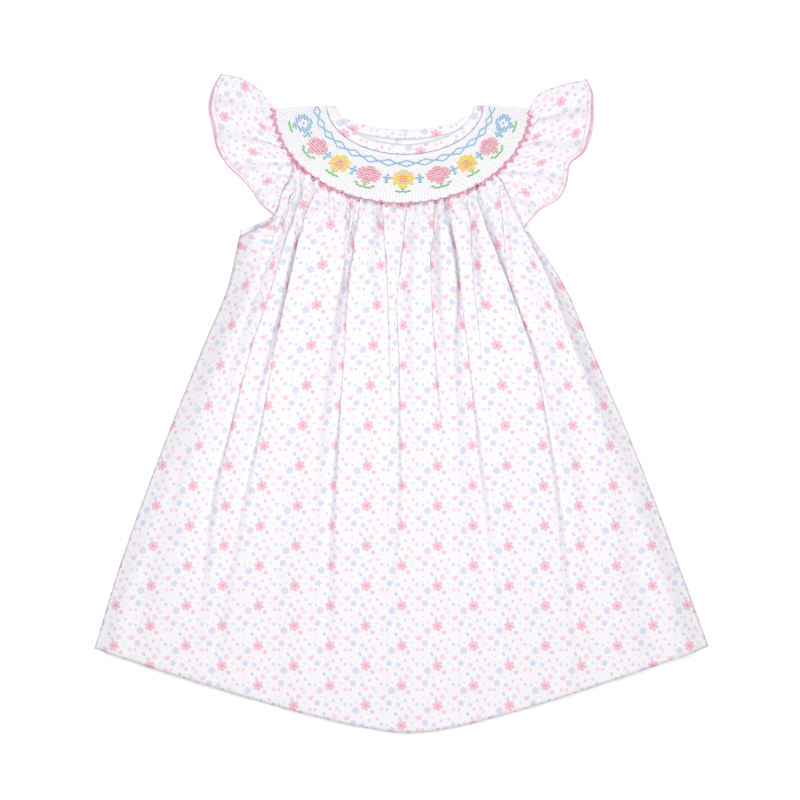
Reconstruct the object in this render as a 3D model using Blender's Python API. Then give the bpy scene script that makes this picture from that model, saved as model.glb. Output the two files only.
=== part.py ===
"""Child's smocked bishop dress with flutter sleeves, laid flat on its back.

X runs across the dress, Y from the hem to the neck, Z up from the surface it lies on.
Sizes below are in millimetres and are turned into metres when a mesh is made.
"""
import math

import bpy
import numpy as np

MM = 0.001

# the middle of the whole length, taken off so that the origin is under the middle
CENTRE_Y = 0.9

# cloth and the space left between pieces
CLOTH = 1.5
SLEEVE_CLOTH = 1.2
GAP = 0.4

# smocked ring: one ellipse for its outer edge, one for the neck
RING_X = 0.4
RING_Y = 267.7
RING_HALF_W = 114.3
RING_DEPTH = 86.0
NECK_X = 3.1
NECK_Y = 270.4
NECK_HALF_W = 62.0
NECK_DEPTH = 36.0
BACK_NECK_DEPTH = 21.6
BACK_RING_HALF_W = 111.0
BACK_RING_DEPTH = 74.0
BINDING_W = 8.2
BINDING_T = 2.3
RING_UNDER_Z = 5.5
RING_WALL = 1.3
PLEAT_COUNT = 118
PLEAT_RISE = 0.85
SHOULDER_DROP = 1.7
SHOULDER_RUN = 0.07

# skirt: sides, hem and the share of its width on each side of the ring
SKIRT_HEM = {"left": (-277.0, -219.0), "right": (277.0, -217.0)}
HEM_X = 7.6
HEM_Y = -296.0
HEM_POWER = 1.18
HEM_ROUND = 22.5
SHARE_LEFT = 0.14
SHARE_RIGHT = 0.81
RING_ANGLE_LEFT = 32.0
RING_ANGLE_RIGHT = 44.0
COLUMNS = (8, 62, 10)
ROWS = 21
LOWEST = 3.6
BACK_INSET = 1.8
SLIT_LENGTH = 72.0
SLIT_W = 0.5

# side seams, one row a height: y, left x, right x
SIDES = (
    (108.0, -156.5, 147.0),
    (57.0, -177.5, 169.0),
    (-46.0, -218.5, 213.0),
    (-150.0, -256.0, 252.5),
)

# height of the fold crests: y, z
CRESTS = (
    (200.0, 8.6),
    (165.0, 11.2),
    (120.0, 12.0),
    (30.0, 11.2),
    (-80.0, 9.4),
    (-190.0, 7.2),
    (-300.0, 4.9),
)

# the levels at which the folds below are given
FOLD_Y = (196.0, 131.0, 41.0, -67.0, -175.0, -270.0)

# folds: name, x at each level, depth share at each level, width to the left and to the right
FOLDS = (
    ("armhole_left", (-112, -133, -170, -202, -222, -240), (0.0, 0.35, 0.30, 0.2, 0.1, 0.0), 16, 12),
    ("side_left", (-88, -112, -143, -173, -187, -196), (0.80, 0.85, 0.75, 0.65, 0.45, 0.2), 11, 10),
    ("inner_left", (-71, -95, -116, -139, -160, -168), (0.75, 0.50, 0.50, 0.40, 0.25, 0.1), 13, 7),
    ("short_left", (-60, -66, -72, -78, -80, -80), (0.50, 0.10, 0.0, 0.0, 0.0, 0.0), 6, 5),
    ("deep_left", (-43, -48, -61, -65, -67, -71), (0.90, 0.90, 0.90, 0.95, 0.80, 0.35), 14, 10),
    ("middle_left", (-18, -24, -18, -16, -15, -12), (0.85, 0.60, 0.25, 0.10, 0.0, 0.0), 9, 8),
    ("middle", (6, 4, 7, 10, 4, 30), (0.85, 0.70, 0.65, 0.55, 0.50, 0.35), 8, 10),
    ("middle_right", (27, 29, 46, 64, 77, 92), (0.85, 0.75, 0.65, 0.80, 0.60, 0.25), 10, 10),
    ("merging", (40, 47, 54, 72, 88, 100), (0.75, 0.55, 0.45, 0.0, 0.0, 0.0), 8, 7),
    ("inner_right", (58, 64, 76, 84, 92, 100), (0.75, 0.60, 0.25, 0.0, 0.0, 0.0), 7, 8),
    ("sharp_right", (66, 86, 110, 132, 140, 150), (0.70, 0.65, 0.15, 0.0, 0.0, 0.0), 7, 9),
    ("side_right", (86, 92, 113, 142, 154, 166), (0.60, 0.50, 0.60, 0.65, 0.40, 0.2), 7, 14),
    ("hollow_right", (104, 122, 142, 165, 172, 180), (0.0, 0.15, 0.20, 0.25, 0.40, 0.3), 16, 22),
    ("corner_right", (108, 130, 170, 200, 218, 236), (0.0, 0.0, 0.0, 0.15, 0.35, 0.3), 20, 24),
    ("corner_left", (-120, -140, -180, -210, -236, -250), (0.0, 0.0, 0.0, 0.15, 0.35, 0.3), 20, 18),
    ("hollow_left", (-60, -72, -90, -104, -118, -122), (0.0, 0.0, 0.15, 0.20, 0.35, 0.3), 22, 22),
    ("hem_middle", (-5, -10, -20, -24, -26, -28), (0.0, 0.0, 0.0, 0.0, 0.15, 0.35), 18, 20),
)

# small gathers where the skirt leaves the ring
GATHERS = 19
GATHER_SHARE = 0.38
GATHER_RUN = 30.0

# sleeves: hem from the top fold to the front end, in x and y
SLEEVE_HEM = {
    "left": (
        (-162.0, 298.5), (-168.0, 287.0), (-171.0, 272.0), (-168.0, 250.0), (-164.0, 229.0),
        (-154.0, 214.0), (-146.0, 207.0), (-136.0, 196.0), (-127.0, 182.5), (-114.5, 171.8),
    ),
    "right": (
        (166.0, 294.0), (170.0, 285.0), (170.5, 268.0), (169.0, 248.0), (163.0, 229.0),
        (151.5, 218.0), (149.0, 203.0), (143.0, 189.0), (124.0, 176.0), (109.8, 160.0),
    ),
}
SLEEVE_TOP = {
    "left": ((-114.8, 267.0), (-127.0, 283.5), (-147.0, 296.0), (-162.0, 298.5)),
    "right": ((115.8, 269.0), (121.5, 278.5), (143.5, 288.5), (166.0, 294.0)),
}
SLEEVE_FRONT_SEAM = {
    "left": ((-100.5, 205.0), (-107.5, 193.0), (-111.0, 178.0)),
    "right": ((90.5, 202.0), (95.5, 190.0), (103.0, 168.0)),
}
SLEEVE_ALONG = 22
SLEEVE_OUT = 7
SLEEVE_WAVES = 4.5
SLEEVE_Z_SEAM = 6.2
SLEEVE_Z_HEM = 5.0
SLEEVE_RIPPLE = 2.0
SLEEVE_BACK_Z_SEAM = 2.6
SLEEVE_BACK_Z_HEM = 0.6
SLEEVE_BACK_OUT = 2.6

# armhole edges of the front, from the sleeve's end to the side seam
ARMHOLE = {
    "left": ((-112.0, 173.0), (-128.0, 164.5), (-146.5, 157.5)),
    "right": ((104.8, 164.5), (109.5, 162.0), (115.5, 160.5)),
}
ARMHOLE_BAND_W = 4.6
ARMHOLE_BAND_T = 1.8

# buttons of the back opening
BUTTON_R = 5.0
BUTTON_T = 1.4
BUTTON_Y = (233.0, 219.0, 205.0)
BUTTON_SEGMENTS = 28
OVERLAP = 12.0


def clear_scene():
    """Remove whatever the file starts with."""
    for item in list(bpy.data.objects):
        bpy.data.objects.remove(item, do_unlink=True)


def make_material(name, colour, roughness):
    """One plain material for each kind of cloth or trim."""
    material = bpy.data.materials.new(name)
    material.use_nodes = True
    shader = material.node_tree.nodes["Principled BSDF"]
    shader.inputs["Base Color"].default_value = (*colour, 1.0)
    shader.inputs["Roughness"].default_value = roughness
    return material


def enclosed(points, faces):
    """Six times the volume inside the faces, above zero when they face outwards."""
    points = np.array(points, float)
    total = 0.0
    for face in faces:
        for k in range(1, len(face) - 1):
            total += np.dot(points[face[0]], np.cross(points[face[k]], points[face[k + 1]]))
    return total


def add_piece(name, points, faces, material, smooth=True):
    """A named object from points in millimetres, its faces outwards."""
    if enclosed(points, faces) < 0.0:
        faces = [tuple(reversed(face)) for face in faces]
    mesh = bpy.data.meshes.new(name)
    places = [(float(x) * MM, (float(y) - CENTRE_Y) * MM, float(z) * MM) for x, y, z in points]
    mesh.from_pydata(places, [], faces)
    mesh.validate()
    mesh.update()
    for face in mesh.polygons:
        face.use_smooth = smooth
    mesh.materials.append(material)
    piece = bpy.data.objects.new(name, mesh)
    bpy.context.scene.collection.objects.link(piece)
    return piece


def smooth_path(rows, count):
    """Points evenly along a soft curve through a few rows of x and y."""
    rows = np.array(rows, float)
    steps = np.concatenate([[0.0], np.cumsum(np.linalg.norm(np.diff(rows, axis=0), axis=1))])
    fine = np.linspace(0.0, steps[-1], 12 * len(rows))
    line = np.stack([soft_between(steps, rows[:, k], fine) for k in range(2)], axis=1)
    run = np.concatenate([[0.0], np.cumsum(np.linalg.norm(np.diff(line, axis=0), axis=1))])
    even = np.linspace(0.0, run[-1], count)
    return np.stack([np.interp(even, run, line[:, k]) for k in range(2)], axis=1)


def soft_between(knots, values, wanted):
    """Cubic interpolation with the slopes of the neighbours, flat beyond the ends."""
    knots = np.array(knots, float)
    values = np.array(values, float)
    slopes = np.gradient(values, knots)
    wanted = np.clip(wanted, knots.min(), knots.max())
    at = np.clip(np.searchsorted(knots, wanted) - 1, 0, len(knots) - 2)
    width = knots[at + 1] - knots[at]
    s = (wanted - knots[at]) / width
    rise = values[at + 1] * (3 * s**2 - 2 * s**3) + values[at] * (1 - 3 * s**2 + 2 * s**3)
    bend = width * (slopes[at] * (s - 2 * s**2 + s**3) + slopes[at + 1] * (s**3 - s**2))
    return rise + bend


def by_height(rows, y, column):
    """A value that goes with the height y, from a table whose first column is y."""
    ordered = sorted(rows)
    return soft_between([r[0] for r in ordered], [r[column] for r in ordered], y)


def ease(value):
    """Smooth step from 0 to 1."""
    value = np.clip(value, 0.0, 1.0)
    return value * value * (3.0 - 2.0 * value)


def ring_point(angle, grow=0.0, half_w=RING_HALF_W, depth=RING_DEPTH):
    """A point of the ring's outer edge; the angle is 0 at the left shoulder, 180 at the right."""
    a = np.radians(angle)
    return np.stack([RING_X - (half_w + grow) * np.cos(a), RING_Y - (depth + grow) * np.sin(a)], axis=-1)


def neck_point(angle, grow=0.0, depth=NECK_DEPTH):
    """A point of a neck edge, moved out by grow."""
    a = np.radians(angle)
    return np.stack([NECK_X - (NECK_HALF_W + grow) * np.cos(a), NECK_Y - (depth + grow) * np.sin(a)], axis=-1)


def coons(top, bottom, left, right):
    """Fill between four edges; top and bottom run left to right, left and right run down."""
    rows = len(left)
    cols = len(top)
    u = np.linspace(0.0, 1.0, cols)[None, :, None]
    v = np.linspace(0.0, 1.0, rows)[:, None, None]
    across = (1 - v) * top[None] + v * bottom[None]
    down = (1 - u) * left[:, None] + u * right[:, None]
    corners = (1 - v) * ((1 - u) * top[0] + u * top[-1]) + v * ((1 - u) * bottom[0] + u * bottom[-1])
    return across + down - corners


def grid_wall(name, upper, lower, material):
    """A closed wall from two grids of points with the same rows and columns."""
    rows, cols = upper.shape[:2]
    points = np.concatenate([upper.reshape(-1, 3), lower.reshape(-1, 3)])
    half = rows * cols
    faces = []
    for r in range(rows - 1):
        for c in range(cols - 1):
            a = r * cols + c
            faces.append((a, a + cols, a + cols + 1, a + 1))
            faces.append((half + a, half + a + 1, half + a + cols + 1, half + a + cols))
    for c in range(cols - 1):
        last = (rows - 1) * cols + c
        faces.append((c, c + 1, half + c + 1, half + c))
        faces.append((last + 1, last, half + last, half + last + 1))
    for r in range(rows - 1):
        a = r * cols
        b = a + cols - 1
        faces.append((a + cols, a, half + a, half + a + cols))
        faces.append((b, b + cols, half + b + cols, half + b))
    return add_piece(name, points, faces, material)


def beside(path, width):
    """A path moved to its right by a width."""
    path = np.array(path, float)
    along = np.gradient(path, axis=0)
    along /= np.linalg.norm(along, axis=1)[:, None]
    return path + width * np.stack([along[:, 1], -along[:, 0]], axis=1)


def swept_band(name, path, outer, thickness, height, material):
    """A flat rounded band between its two edges, its middle at height."""
    path = np.array(path, float)
    reach = np.array(outer, float) - path
    height = np.broadcast_to(height, (len(path),))
    shape = ((0.0, 0.0), (0.08, 0.36), (0.3, 0.5), (0.7, 0.5), (0.92, 0.36), (1.0, 0.0),
             (0.92, -0.36), (0.7, -0.5), (0.3, -0.5), (0.08, -0.36))
    count = len(shape)
    points = []
    for k in range(len(path)):
        for across, up in shape:
            flat = path[k] + reach[k] * across
            points.append((flat[0], flat[1], height[k] + up * thickness))
    faces = [tuple(range(count)), tuple(reversed(range(len(points) - count, len(points))))]
    for k in range(len(path) - 1):
        for j in range(count):
            a = k * count + j
            b = k * count + (j + 1) % count
            faces.append((b, a, a + count, b + count))
    return add_piece(name, points, faces, material)


def skirt_edges():
    """The four edges of the skirt front in plan."""
    left_n, middle_n, right_n = COLUMNS
    start = smooth_path(tuple(reversed(armhole_edge("left"))) + raglan("left"), left_n + 1)
    angles = np.linspace(RING_ANGLE_LEFT, 180.0 - RING_ANGLE_RIGHT, middle_n + 1)
    middle = ring_point(angles, GAP)
    end = smooth_path(tuple(reversed(raglan("right"))) + armhole_edge("right"), right_n + 1)
    top = np.concatenate([start[:-1], middle, end[1:]])
    share = np.concatenate([
        np.linspace(0.0, SHARE_LEFT, left_n + 1)[:-1],
        np.linspace(SHARE_LEFT, SHARE_RIGHT, middle_n + 1),
        np.linspace(SHARE_RIGHT, 1.0, right_n + 1)[1:],
    ])
    hem_x = SKIRT_HEM["left"][0] + share * (SKIRT_HEM["right"][0] - SKIRT_HEM["left"][0])
    bottom = np.stack([hem_x, hem_height(hem_x)], axis=1)
    left = side_line("left")
    right = side_line("right")
    return top, bottom, left, right


def armhole_edge(side):
    """The skirt's edge at the armhole, inside the band."""
    return tuple((x, y - ARMHOLE_BAND_W - GAP) for x, y in ARMHOLE[side])


def raglan(side):
    """The seam of skirt and sleeve, from the sleeve's end up to the ring."""
    angle = RING_ANGLE_LEFT if side == "left" else 180.0 - RING_ANGLE_RIGHT
    shift = GAP * (1.0 if side == "left" else -1.0)
    rows = [(x + shift * 2.5, y) for x, y in reversed(SLEEVE_FRONT_SEAM[side])]
    end = ring_point(angle, GAP)
    return tuple(rows) + ((float(end[0]), float(end[1])),)


def hem_height(x):
    """Height of the hem's curve at x: nearly straight flanks and a rounded middle."""
    x = np.asarray(x, float)
    reach = np.where(x < HEM_X, HEM_X - SKIRT_HEM["left"][0], SKIRT_HEM["right"][0] - HEM_X)
    drop = SKIRT_HEM["left"][1] - HEM_Y
    away = np.hypot(x - HEM_X, HEM_ROUND) - HEM_ROUND
    return HEM_Y + drop * (away / (np.hypot(reach, HEM_ROUND) - HEM_ROUND)) ** HEM_POWER


def side_line(side):
    """A side seam from the underarm to the hem."""
    column = 1 if side == "left" else 2
    rows = armhole_edge(side)[-1:] + tuple((row[column], row[0]) for row in SIDES) + (SKIRT_HEM[side],)
    return smooth_path(rows, ROWS + 1)


def fold_share(x, y):
    """How far the folds take the cloth down at a place, from 0 to 1."""
    stay = np.ones_like(x)
    levels = FOLD_Y[::-1]
    for _name, at, share, left_w, right_w in FOLDS:
        middle = soft_between(levels, at[::-1], y)
        depth = np.clip(soft_between(levels, share[::-1], y), 0.0, 0.97)
        narrow = 0.55 + 0.45 * ease((196.0 - y) / 60.0)
        off = x - middle
        reach = np.where(off < 0, left_w, right_w) * narrow
        bump = 0.5 + 0.5 * np.cos(np.pi * np.clip(off / reach, -1.0, 1.0))
        stay *= 1.0 - depth * bump
    return 1.0 - stay


def gather_share(x, y):
    """Small gathers just below the ring, evenly along its edge."""
    angle = np.degrees(np.arctan2(RING_Y - y, (RING_X - x) * RING_DEPTH / RING_HALF_W))
    turn = (angle - RING_ANGLE_LEFT) / (180.0 - RING_ANGLE_RIGHT - RING_ANGLE_LEFT)
    away = np.hypot((x - RING_X) / RING_HALF_W, (y - RING_Y) / RING_DEPTH) - 1.0
    fade = 1.0 - ease(away * RING_DEPTH / GATHER_RUN)
    inside = ease((turn + 0.02) / 0.04) * ease((1.02 - turn) / 0.04)
    return GATHER_SHARE * (0.5 - 0.5 * np.cos(2 * np.pi * GATHERS * turn)) * fade * inside


def skirt_height(flat):
    """Upper height of the skirt front over a grid of places."""
    x = flat[..., 0]
    y = flat[..., 1]
    crest = by_height(CRESTS, y, 1)
    down = 1.0 - (1.0 - fold_share(x, y)) * (1.0 - gather_share(x, y))
    left = np.linalg.norm(flat - flat[:, :1], axis=-1)
    right = np.linalg.norm(flat - flat[:, -1:], axis=-1)
    edge = ease(np.minimum(left, right) / 22.0)
    return LOWEST + (crest - LOWEST) * (1.0 - down) * edge


def make_skirt_front(material):
    """The gathered front, its folds running from the ring to the hem."""
    flat = coons(*skirt_edges())
    high = skirt_height(flat)
    upper = np.concatenate([flat, high[..., None]], axis=-1)
    lower = upper - np.array((0.0, 0.0, CLOTH))
    grid_wall("skirt_front", upper, lower, material)


def outline_slab(name, outline, low, high, material):
    """A flat panel from its outline, which runs anticlockwise seen from above."""
    count = len(outline)
    points = [(x, y, low) for x, y in outline] + [(x, y, high) for x, y in outline]
    faces = [tuple(reversed(range(count))), tuple(range(count, 2 * count))]
    for k in range(count):
        n = (k + 1) % count
        faces.append((k, n, n + count, k + count))
    return add_piece(name, points, faces, material, smooth=False)


def back_outline():
    """Outline of the skirt back: sides, hem, armholes, ring edge and the opening's slit."""
    left = side_line("left")[::2] + np.array((BACK_INSET, 0.0))
    right = side_line("right")[::2] - np.array((BACK_INSET, 0.0))
    hem_x = np.linspace(left[-1][0], right[-1][0], 40)
    hem = np.stack([hem_x, hem_height(hem_x) + BACK_INSET], axis=1)
    ring_r = ring_point(np.linspace(180.0 - RING_ANGLE_RIGHT, 91.0, 14), -3.0, BACK_RING_HALF_W, BACK_RING_DEPTH)
    ring_l = ring_point(np.linspace(89.0, RING_ANGLE_LEFT, 14), -3.0, BACK_RING_HALF_W, BACK_RING_DEPTH)
    seam_r = [(x - 2.4, y) for x, y in reversed(SLEEVE_FRONT_SEAM["right"])]
    seam_l = [(x + 2.4, y) for x, y in SLEEVE_FRONT_SEAM["left"]]
    seam_r = [(x, y - 1.5) for x, y in reversed(armhole_edge("right")[:-1])] + seam_r
    seam_l = seam_l + [(x, y - 1.5) for x, y in armhole_edge("left")[:-1]]
    foot = ring_r[-1][1] - SLIT_LENGTH
    slit = [(RING_X + SLIT_W / 2, ring_r[-1][1]), (RING_X + SLIT_W / 2, foot),
            (RING_X - SLIT_W / 2, foot), (RING_X - SLIT_W / 2, ring_l[0][1])]
    rows = [hem[0]] + list(hem[1:]) + list(reversed(right[:-1])) + seam_r
    rows += list(ring_r[:-1]) + slit + list(ring_l[1:]) + seam_l + list(left[:-1])
    return [(float(x), float(y)) for x, y in rows]


def make_ring_front(material):
    """The smocked half ring: raised pleats over a plain inside."""
    cols = 2 * PLEAT_COUNT + 1
    turn = np.linspace(0.0, 180.0, cols)
    inner = neck_point(turn, BINDING_W + GAP)
    outer = ring_point(turn, 0.0)
    ends = np.minimum(turn, 180.0 - turn) / 180.0
    drop = SHOULDER_DROP * (1.0 - ease(ends / SHOULDER_RUN))
    pleat = np.where(np.arange(cols) % 2 == 1, 1.0, 0.0)
    rows = ((0.0, 0.25), (0.3, 1.0), (0.8, 1.0), (1.0, 1.15))
    points = []
    for share, rise in rows:
        flat = inner + (outer - inner) * share
        high = RING_UNDER_Z + RING_WALL - drop + PLEAT_RISE * rise * pleat
        points.extend((f[0], f[1], h) for f, h in zip(flat, high))
    for edge in (inner, outer):
        points.extend((f[0], f[1], RING_UNDER_Z - d) for f, d in zip(edge, drop))
    faces = []
    top = len(rows)
    for r in range(top - 1):
        for c in range(cols - 1):
            a = r * cols + c
            faces.append((a, a + cols, a + cols + 1, a + 1))
    low = top * cols
    for c in range(cols - 1):
        a = low + c
        last = (top - 1) * cols + c
        faces.append((a, a + 1, a + cols + 1, a + cols))
        faces.append((c, c + 1, a + 1, a))
        faces.append((last + 1, last, a + cols, a + cols + 1))
    start = [r * cols for r in range(top)]
    finish = [r * cols + cols - 1 for r in range(top)]
    faces.append(tuple(reversed(start)) + (low, low + cols))
    faces.append(tuple(finish) + (low + 2 * cols - 1, low + cols - 1))
    add_piece("yoke_front", points, faces, material, smooth=False)


def make_ring_back(side, material):
    """Half of the plain ring at the back; the right half passes over the left one."""
    left = side == "left"
    lap = OVERLAP / 2.0
    inner_grow = BINDING_W + GAP
    stop = 90.0
    turn = np.linspace(0.0, stop, 17) if left else np.linspace(stop, 180.0, 17)
    inner = neck_point(turn, inner_grow, BACK_NECK_DEPTH)
    outer = ring_point(turn, 0.0, BACK_RING_HALF_W, BACK_RING_DEPTH)
    reach = lap if left else -lap
    at = -1 if left else 0
    inner[at] = (RING_X + reach, inner[at][1])
    outer[at] = (RING_X + reach, outer[at][1])
    share = np.linspace(0.0, 1.0, 4)[:, None, None]
    flat = inner[None] * (1 - share) + outer[None] * share
    near = ease((lap + 10.0 - np.abs(flat[..., 0] - RING_X)) / 8.0)
    lift = 0.0 if left else CLOTH + GAP
    low = CLOTH + GAP + lift * near
    lower = np.concatenate([flat, low[..., None]], axis=-1)
    upper = lower + np.array((0.0, 0.0, CLOTH - 0.2))
    grid_wall("yoke_back_" + side, upper, lower, material)


def make_bindings(material):
    """Bias binding round the neck: the front, and two halves that meet at the back."""
    turn = np.linspace(1.0, 179.0, 41)
    ends = np.minimum(turn, 180.0 - turn) / 180.0
    drop = SHOULDER_DROP * (1.0 - ease(ends / SHOULDER_RUN))
    middle = RING_UNDER_Z + BINDING_T / 2.0 - drop
    outer = neck_point(turn, BINDING_W)
    swept_band("neck_binding_front", neck_point(turn), outer, BINDING_T, middle, material)
    low = CLOTH + GAP + BINDING_T / 2.0
    half = GAP / NECK_HALF_W * 57.3 / 2.0
    for side, first, last in (("left", 3.0, 90.0 - half), ("right", 90.0 + half, 177.0)):
        turn = np.linspace(first, last, 17)
        path = neck_point(turn, 0.0, BACK_NECK_DEPTH)
        outer = neck_point(turn, BINDING_W, BACK_NECK_DEPTH)
        outer[np.argmin(np.abs(turn - 90.0)), 0] = path[np.argmin(np.abs(turn - 90.0)), 0]
        swept_band("neck_binding_back_" + side, path, outer, BINDING_T - 0.4, low - 0.2, material)


def sleeve_plan(side, back=False):
    """The four edges of one layer of a sleeve in plan."""
    sign = 1.0 if side == "left" else -1.0
    limit = RING_ANGLE_LEFT if side == "left" else RING_ANGLE_RIGHT
    turns = np.linspace(1.0, limit - 1.5, 16)
    turns = turns if side == "left" else 180.0 - turns
    ring = ring_point(turns, 2.0 * GAP)
    rows = [tuple(p) for p in ring] + list(SLEEVE_FRONT_SEAM[side])
    seam = smooth_path(rows, SLEEVE_ALONG + 1)
    hem = smooth_path(SLEEVE_HEM[side], SLEEVE_ALONG + 1)
    fold = smooth_path(SLEEVE_TOP[side], SLEEVE_OUT + 1)
    fold[0] = seam[0]
    if back:
        share = np.linspace(0.0, 1.0, SLEEVE_ALONG + 1)
        push = SLEEVE_BACK_OUT * np.where(share < 0.55, np.sin(np.pi * share / 0.55), 0.0)
        hem = hem - np.stack([sign * push, 0.0 * push], axis=1)
    end = np.linspace(seam[-1], hem[-1], SLEEVE_OUT + 1)
    return seam, hem, fold, end


def sleeve_grid(side):
    """The middle of a sleeve's cloth: front layer, top fold and back layer."""
    sign = 1.0 if side == "left" else -1.0
    seam, hem, fold, end = sleeve_plan(side)
    along = fold[-1] - fold[0]
    out = np.array((along[1], -along[0])) * sign
    out /= np.linalg.norm(out)
    share = np.linspace(0.0, 1.0, SLEEVE_OUT + 1)
    t = share[:, None]
    s = np.linspace(0.0, 1.0, SLEEVE_ALONG + 1)[None, :]
    high = SLEEVE_Z_SEAM + (SLEEVE_Z_HEM - SLEEVE_Z_SEAM) * t
    wave = np.sin(2 * np.pi * SLEEVE_WAVES * s**0.85) * ease(s / 0.12) * ease((1.04 - s) / 0.12)
    high = high + SLEEVE_RIPPLE * t**0.8 * wave
    low = SLEEVE_BACK_Z_SEAM + (SLEEVE_BACK_Z_HEM - SLEEVE_BACK_Z_SEAM) * ease(t * 1.6) + 0.0 * s
    radius = (high[:, 0] - low[:, 0]) / 2.0
    inset = fold - out * radius[:, None]
    shrink = inset - fold
    front = coons(seam + (inset[0] - seam[0]) * (1 - s.T) ** 4, hem + shrink[-1] * (1 - s.T) ** 4, inset, end)
    seam_b, hem_b, _fold, end_b = sleeve_plan(side, back=True)
    behind = coons(seam_b + (inset[0] - seam_b[0]) * (1 - s.T) ** 4, hem_b + shrink[-1] * (1 - s.T) ** 4,
                   inset, end_b)
    upper = np.concatenate([front, high[..., None]], axis=-1)[:, ::-1]
    lower = np.concatenate([behind, low[..., None]], axis=-1)
    arc = []
    for angle in (36.0, 72.0, 108.0, 144.0):
        a = math.radians(angle)
        flat = inset + out * (radius * math.sin(a))[:, None]
        rise = low[:, 0] + radius * (1.0 + math.cos(a))
        arc.append(np.concatenate([flat, rise[:, None]], axis=1)[:, None])
    return np.concatenate([upper] + arc + [lower], axis=1)


def grid_normals(grid):
    """Unit normals of a grid of points."""
    down = np.gradient(grid, axis=0)
    across = np.gradient(grid, axis=1)
    normal = np.cross(across, down)
    return normal / np.linalg.norm(normal, axis=-1)[..., None]


def make_sleeve(side, material):
    """A flutter sleeve folded at the shoulder, front layer over back layer."""
    grid = sleeve_grid(side)
    normal = grid_normals(grid)
    if normal[2, 3, 2] < 0:
        normal = -normal
    half = SLEEVE_CLOTH / 2.0
    outside = grid + normal * half
    inside = grid - normal * half
    outside[..., 2] = np.maximum(outside[..., 2], 0.0)
    if side == "left":
        grid_wall("sleeve_left", outside, inside, material)
    else:
        grid_wall("sleeve_right", outside[:, ::-1], inside[:, ::-1], material)


def make_armhole_bands(material):
    """Narrow bands on the armhole edges below the sleeves, front and back."""
    for side in ("left", "right"):
        path = smooth_path(ARMHOLE[side], 12)[1:]
        if side == "left":
            path = path[::-1]
        outer = beside(path, ARMHOLE_BAND_W)
        swept_band("armhole_band_front_" + side, path, outer, ARMHOLE_BAND_T, 3.4, material)


def make_buttons(material):
    """Three flat buttons under the back opening."""
    turn = np.linspace(0.0, 2 * np.pi, BUTTON_SEGMENTS, endpoint=False)
    rings = ((0.90, 0.0), (1.0, 0.25), (1.0, 0.75), (0.90, 1.0))
    for number, y in enumerate(BUTTON_Y, start=1):
        points = []
        for grow, up in rings:
            for a in turn:
                points.append((RING_X + BUTTON_R * grow * math.cos(a), y + BUTTON_R * grow * math.sin(a),
                               BUTTON_T * up))
        count = BUTTON_SEGMENTS
        faces = [tuple(reversed(range(count))), tuple(range(3 * count, 4 * count))]
        for r in range(3):
            for k in range(count):
                n = (k + 1) % count
                faces.append((r * count + k, r * count + n, (r + 1) * count + n, (r + 1) * count + k))
        add_piece(f"button_{number}", points, faces, material)


def build():
    """All the pieces of the dress."""
    clear_scene()
    printed = make_material("printed_cotton", (0.93, 0.86, 0.91), 0.85)
    white = make_material("white_cotton", (0.93, 0.93, 0.94), 0.85)
    pearl = make_material("pearl_button", (0.92, 0.90, 0.88), 0.3)
    make_skirt_front(printed)
    outline_slab("skirt_back", back_outline(), 0.0, CLOTH, printed)
    make_ring_front(white)
    make_ring_back("left", white)
    make_ring_back("right", white)
    make_bindings(printed)
    make_sleeve("left", printed)
    make_sleeve("right", printed)
    make_armhole_bands(printed)
    make_buttons(pearl)


build()
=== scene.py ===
import math

import bmesh
import bpy
import numpy as np
from mathutils import Matrix, Vector


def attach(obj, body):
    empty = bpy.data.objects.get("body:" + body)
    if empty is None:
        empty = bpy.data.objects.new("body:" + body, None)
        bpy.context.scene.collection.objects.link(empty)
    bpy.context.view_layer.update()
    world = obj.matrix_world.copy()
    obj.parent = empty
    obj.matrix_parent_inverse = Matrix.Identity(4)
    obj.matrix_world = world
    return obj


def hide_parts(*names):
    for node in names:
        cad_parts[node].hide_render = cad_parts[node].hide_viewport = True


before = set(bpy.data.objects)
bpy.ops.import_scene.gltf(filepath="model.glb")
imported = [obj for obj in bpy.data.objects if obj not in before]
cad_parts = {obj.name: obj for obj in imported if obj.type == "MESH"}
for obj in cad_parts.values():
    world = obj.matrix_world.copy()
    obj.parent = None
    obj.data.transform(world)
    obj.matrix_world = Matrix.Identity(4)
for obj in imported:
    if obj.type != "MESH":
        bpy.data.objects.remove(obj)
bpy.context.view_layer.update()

# All sizes are in millimetres until a mesh is made.
MM = 0.001
CENTRE_Y = 0.9
CLOTH = 1.5
GAP = 0.4

# Smocked ring and neck
RING_X, RING_Y = 0.4, 267.7
RING_HALF_W, RING_DEPTH = 114.3, 86.0
NECK_X, NECK_Y = 3.1, 270.4
NECK_HALF_W, NECK_DEPTH, BACK_NECK_DEPTH = 62.0, 36.0, 21.6
BACK_RING_HALF_W, BACK_RING_DEPTH = 111.0, 74.0
BINDING_W, BINDING_T = 8.2, 2.3
RING_UNDER_Z, RING_WALL = 5.5, 1.3
PLEAT_COUNT, PLEAT_RISE = 118, 0.95
SHOULDER_DROP, SHOULDER_RUN = 1.7, 0.07

# Skirt
SKIRT_HEM = {"left": (-277.0, -219.0), "right": (277.0, -217.0)}
HEM_X, HEM_Y, HEM_POWER, HEM_ROUND = 7.6, -296.0, 1.18, 22.5
SHARE_LEFT, SHARE_RIGHT = 0.14, 0.81
RING_ANGLE_LEFT, RING_ANGLE_RIGHT = 32.0, 44.0
COLUMNS = (8, 62, 10)
DENSE = 4
ROWS = 112
LOWEST = 2.4
DEEPER = 1.6
BACK_INSET = 1.8
SLIT_LENGTH, SLIT_W = 72.0, 0.5
SHELL = 0.5

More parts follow.
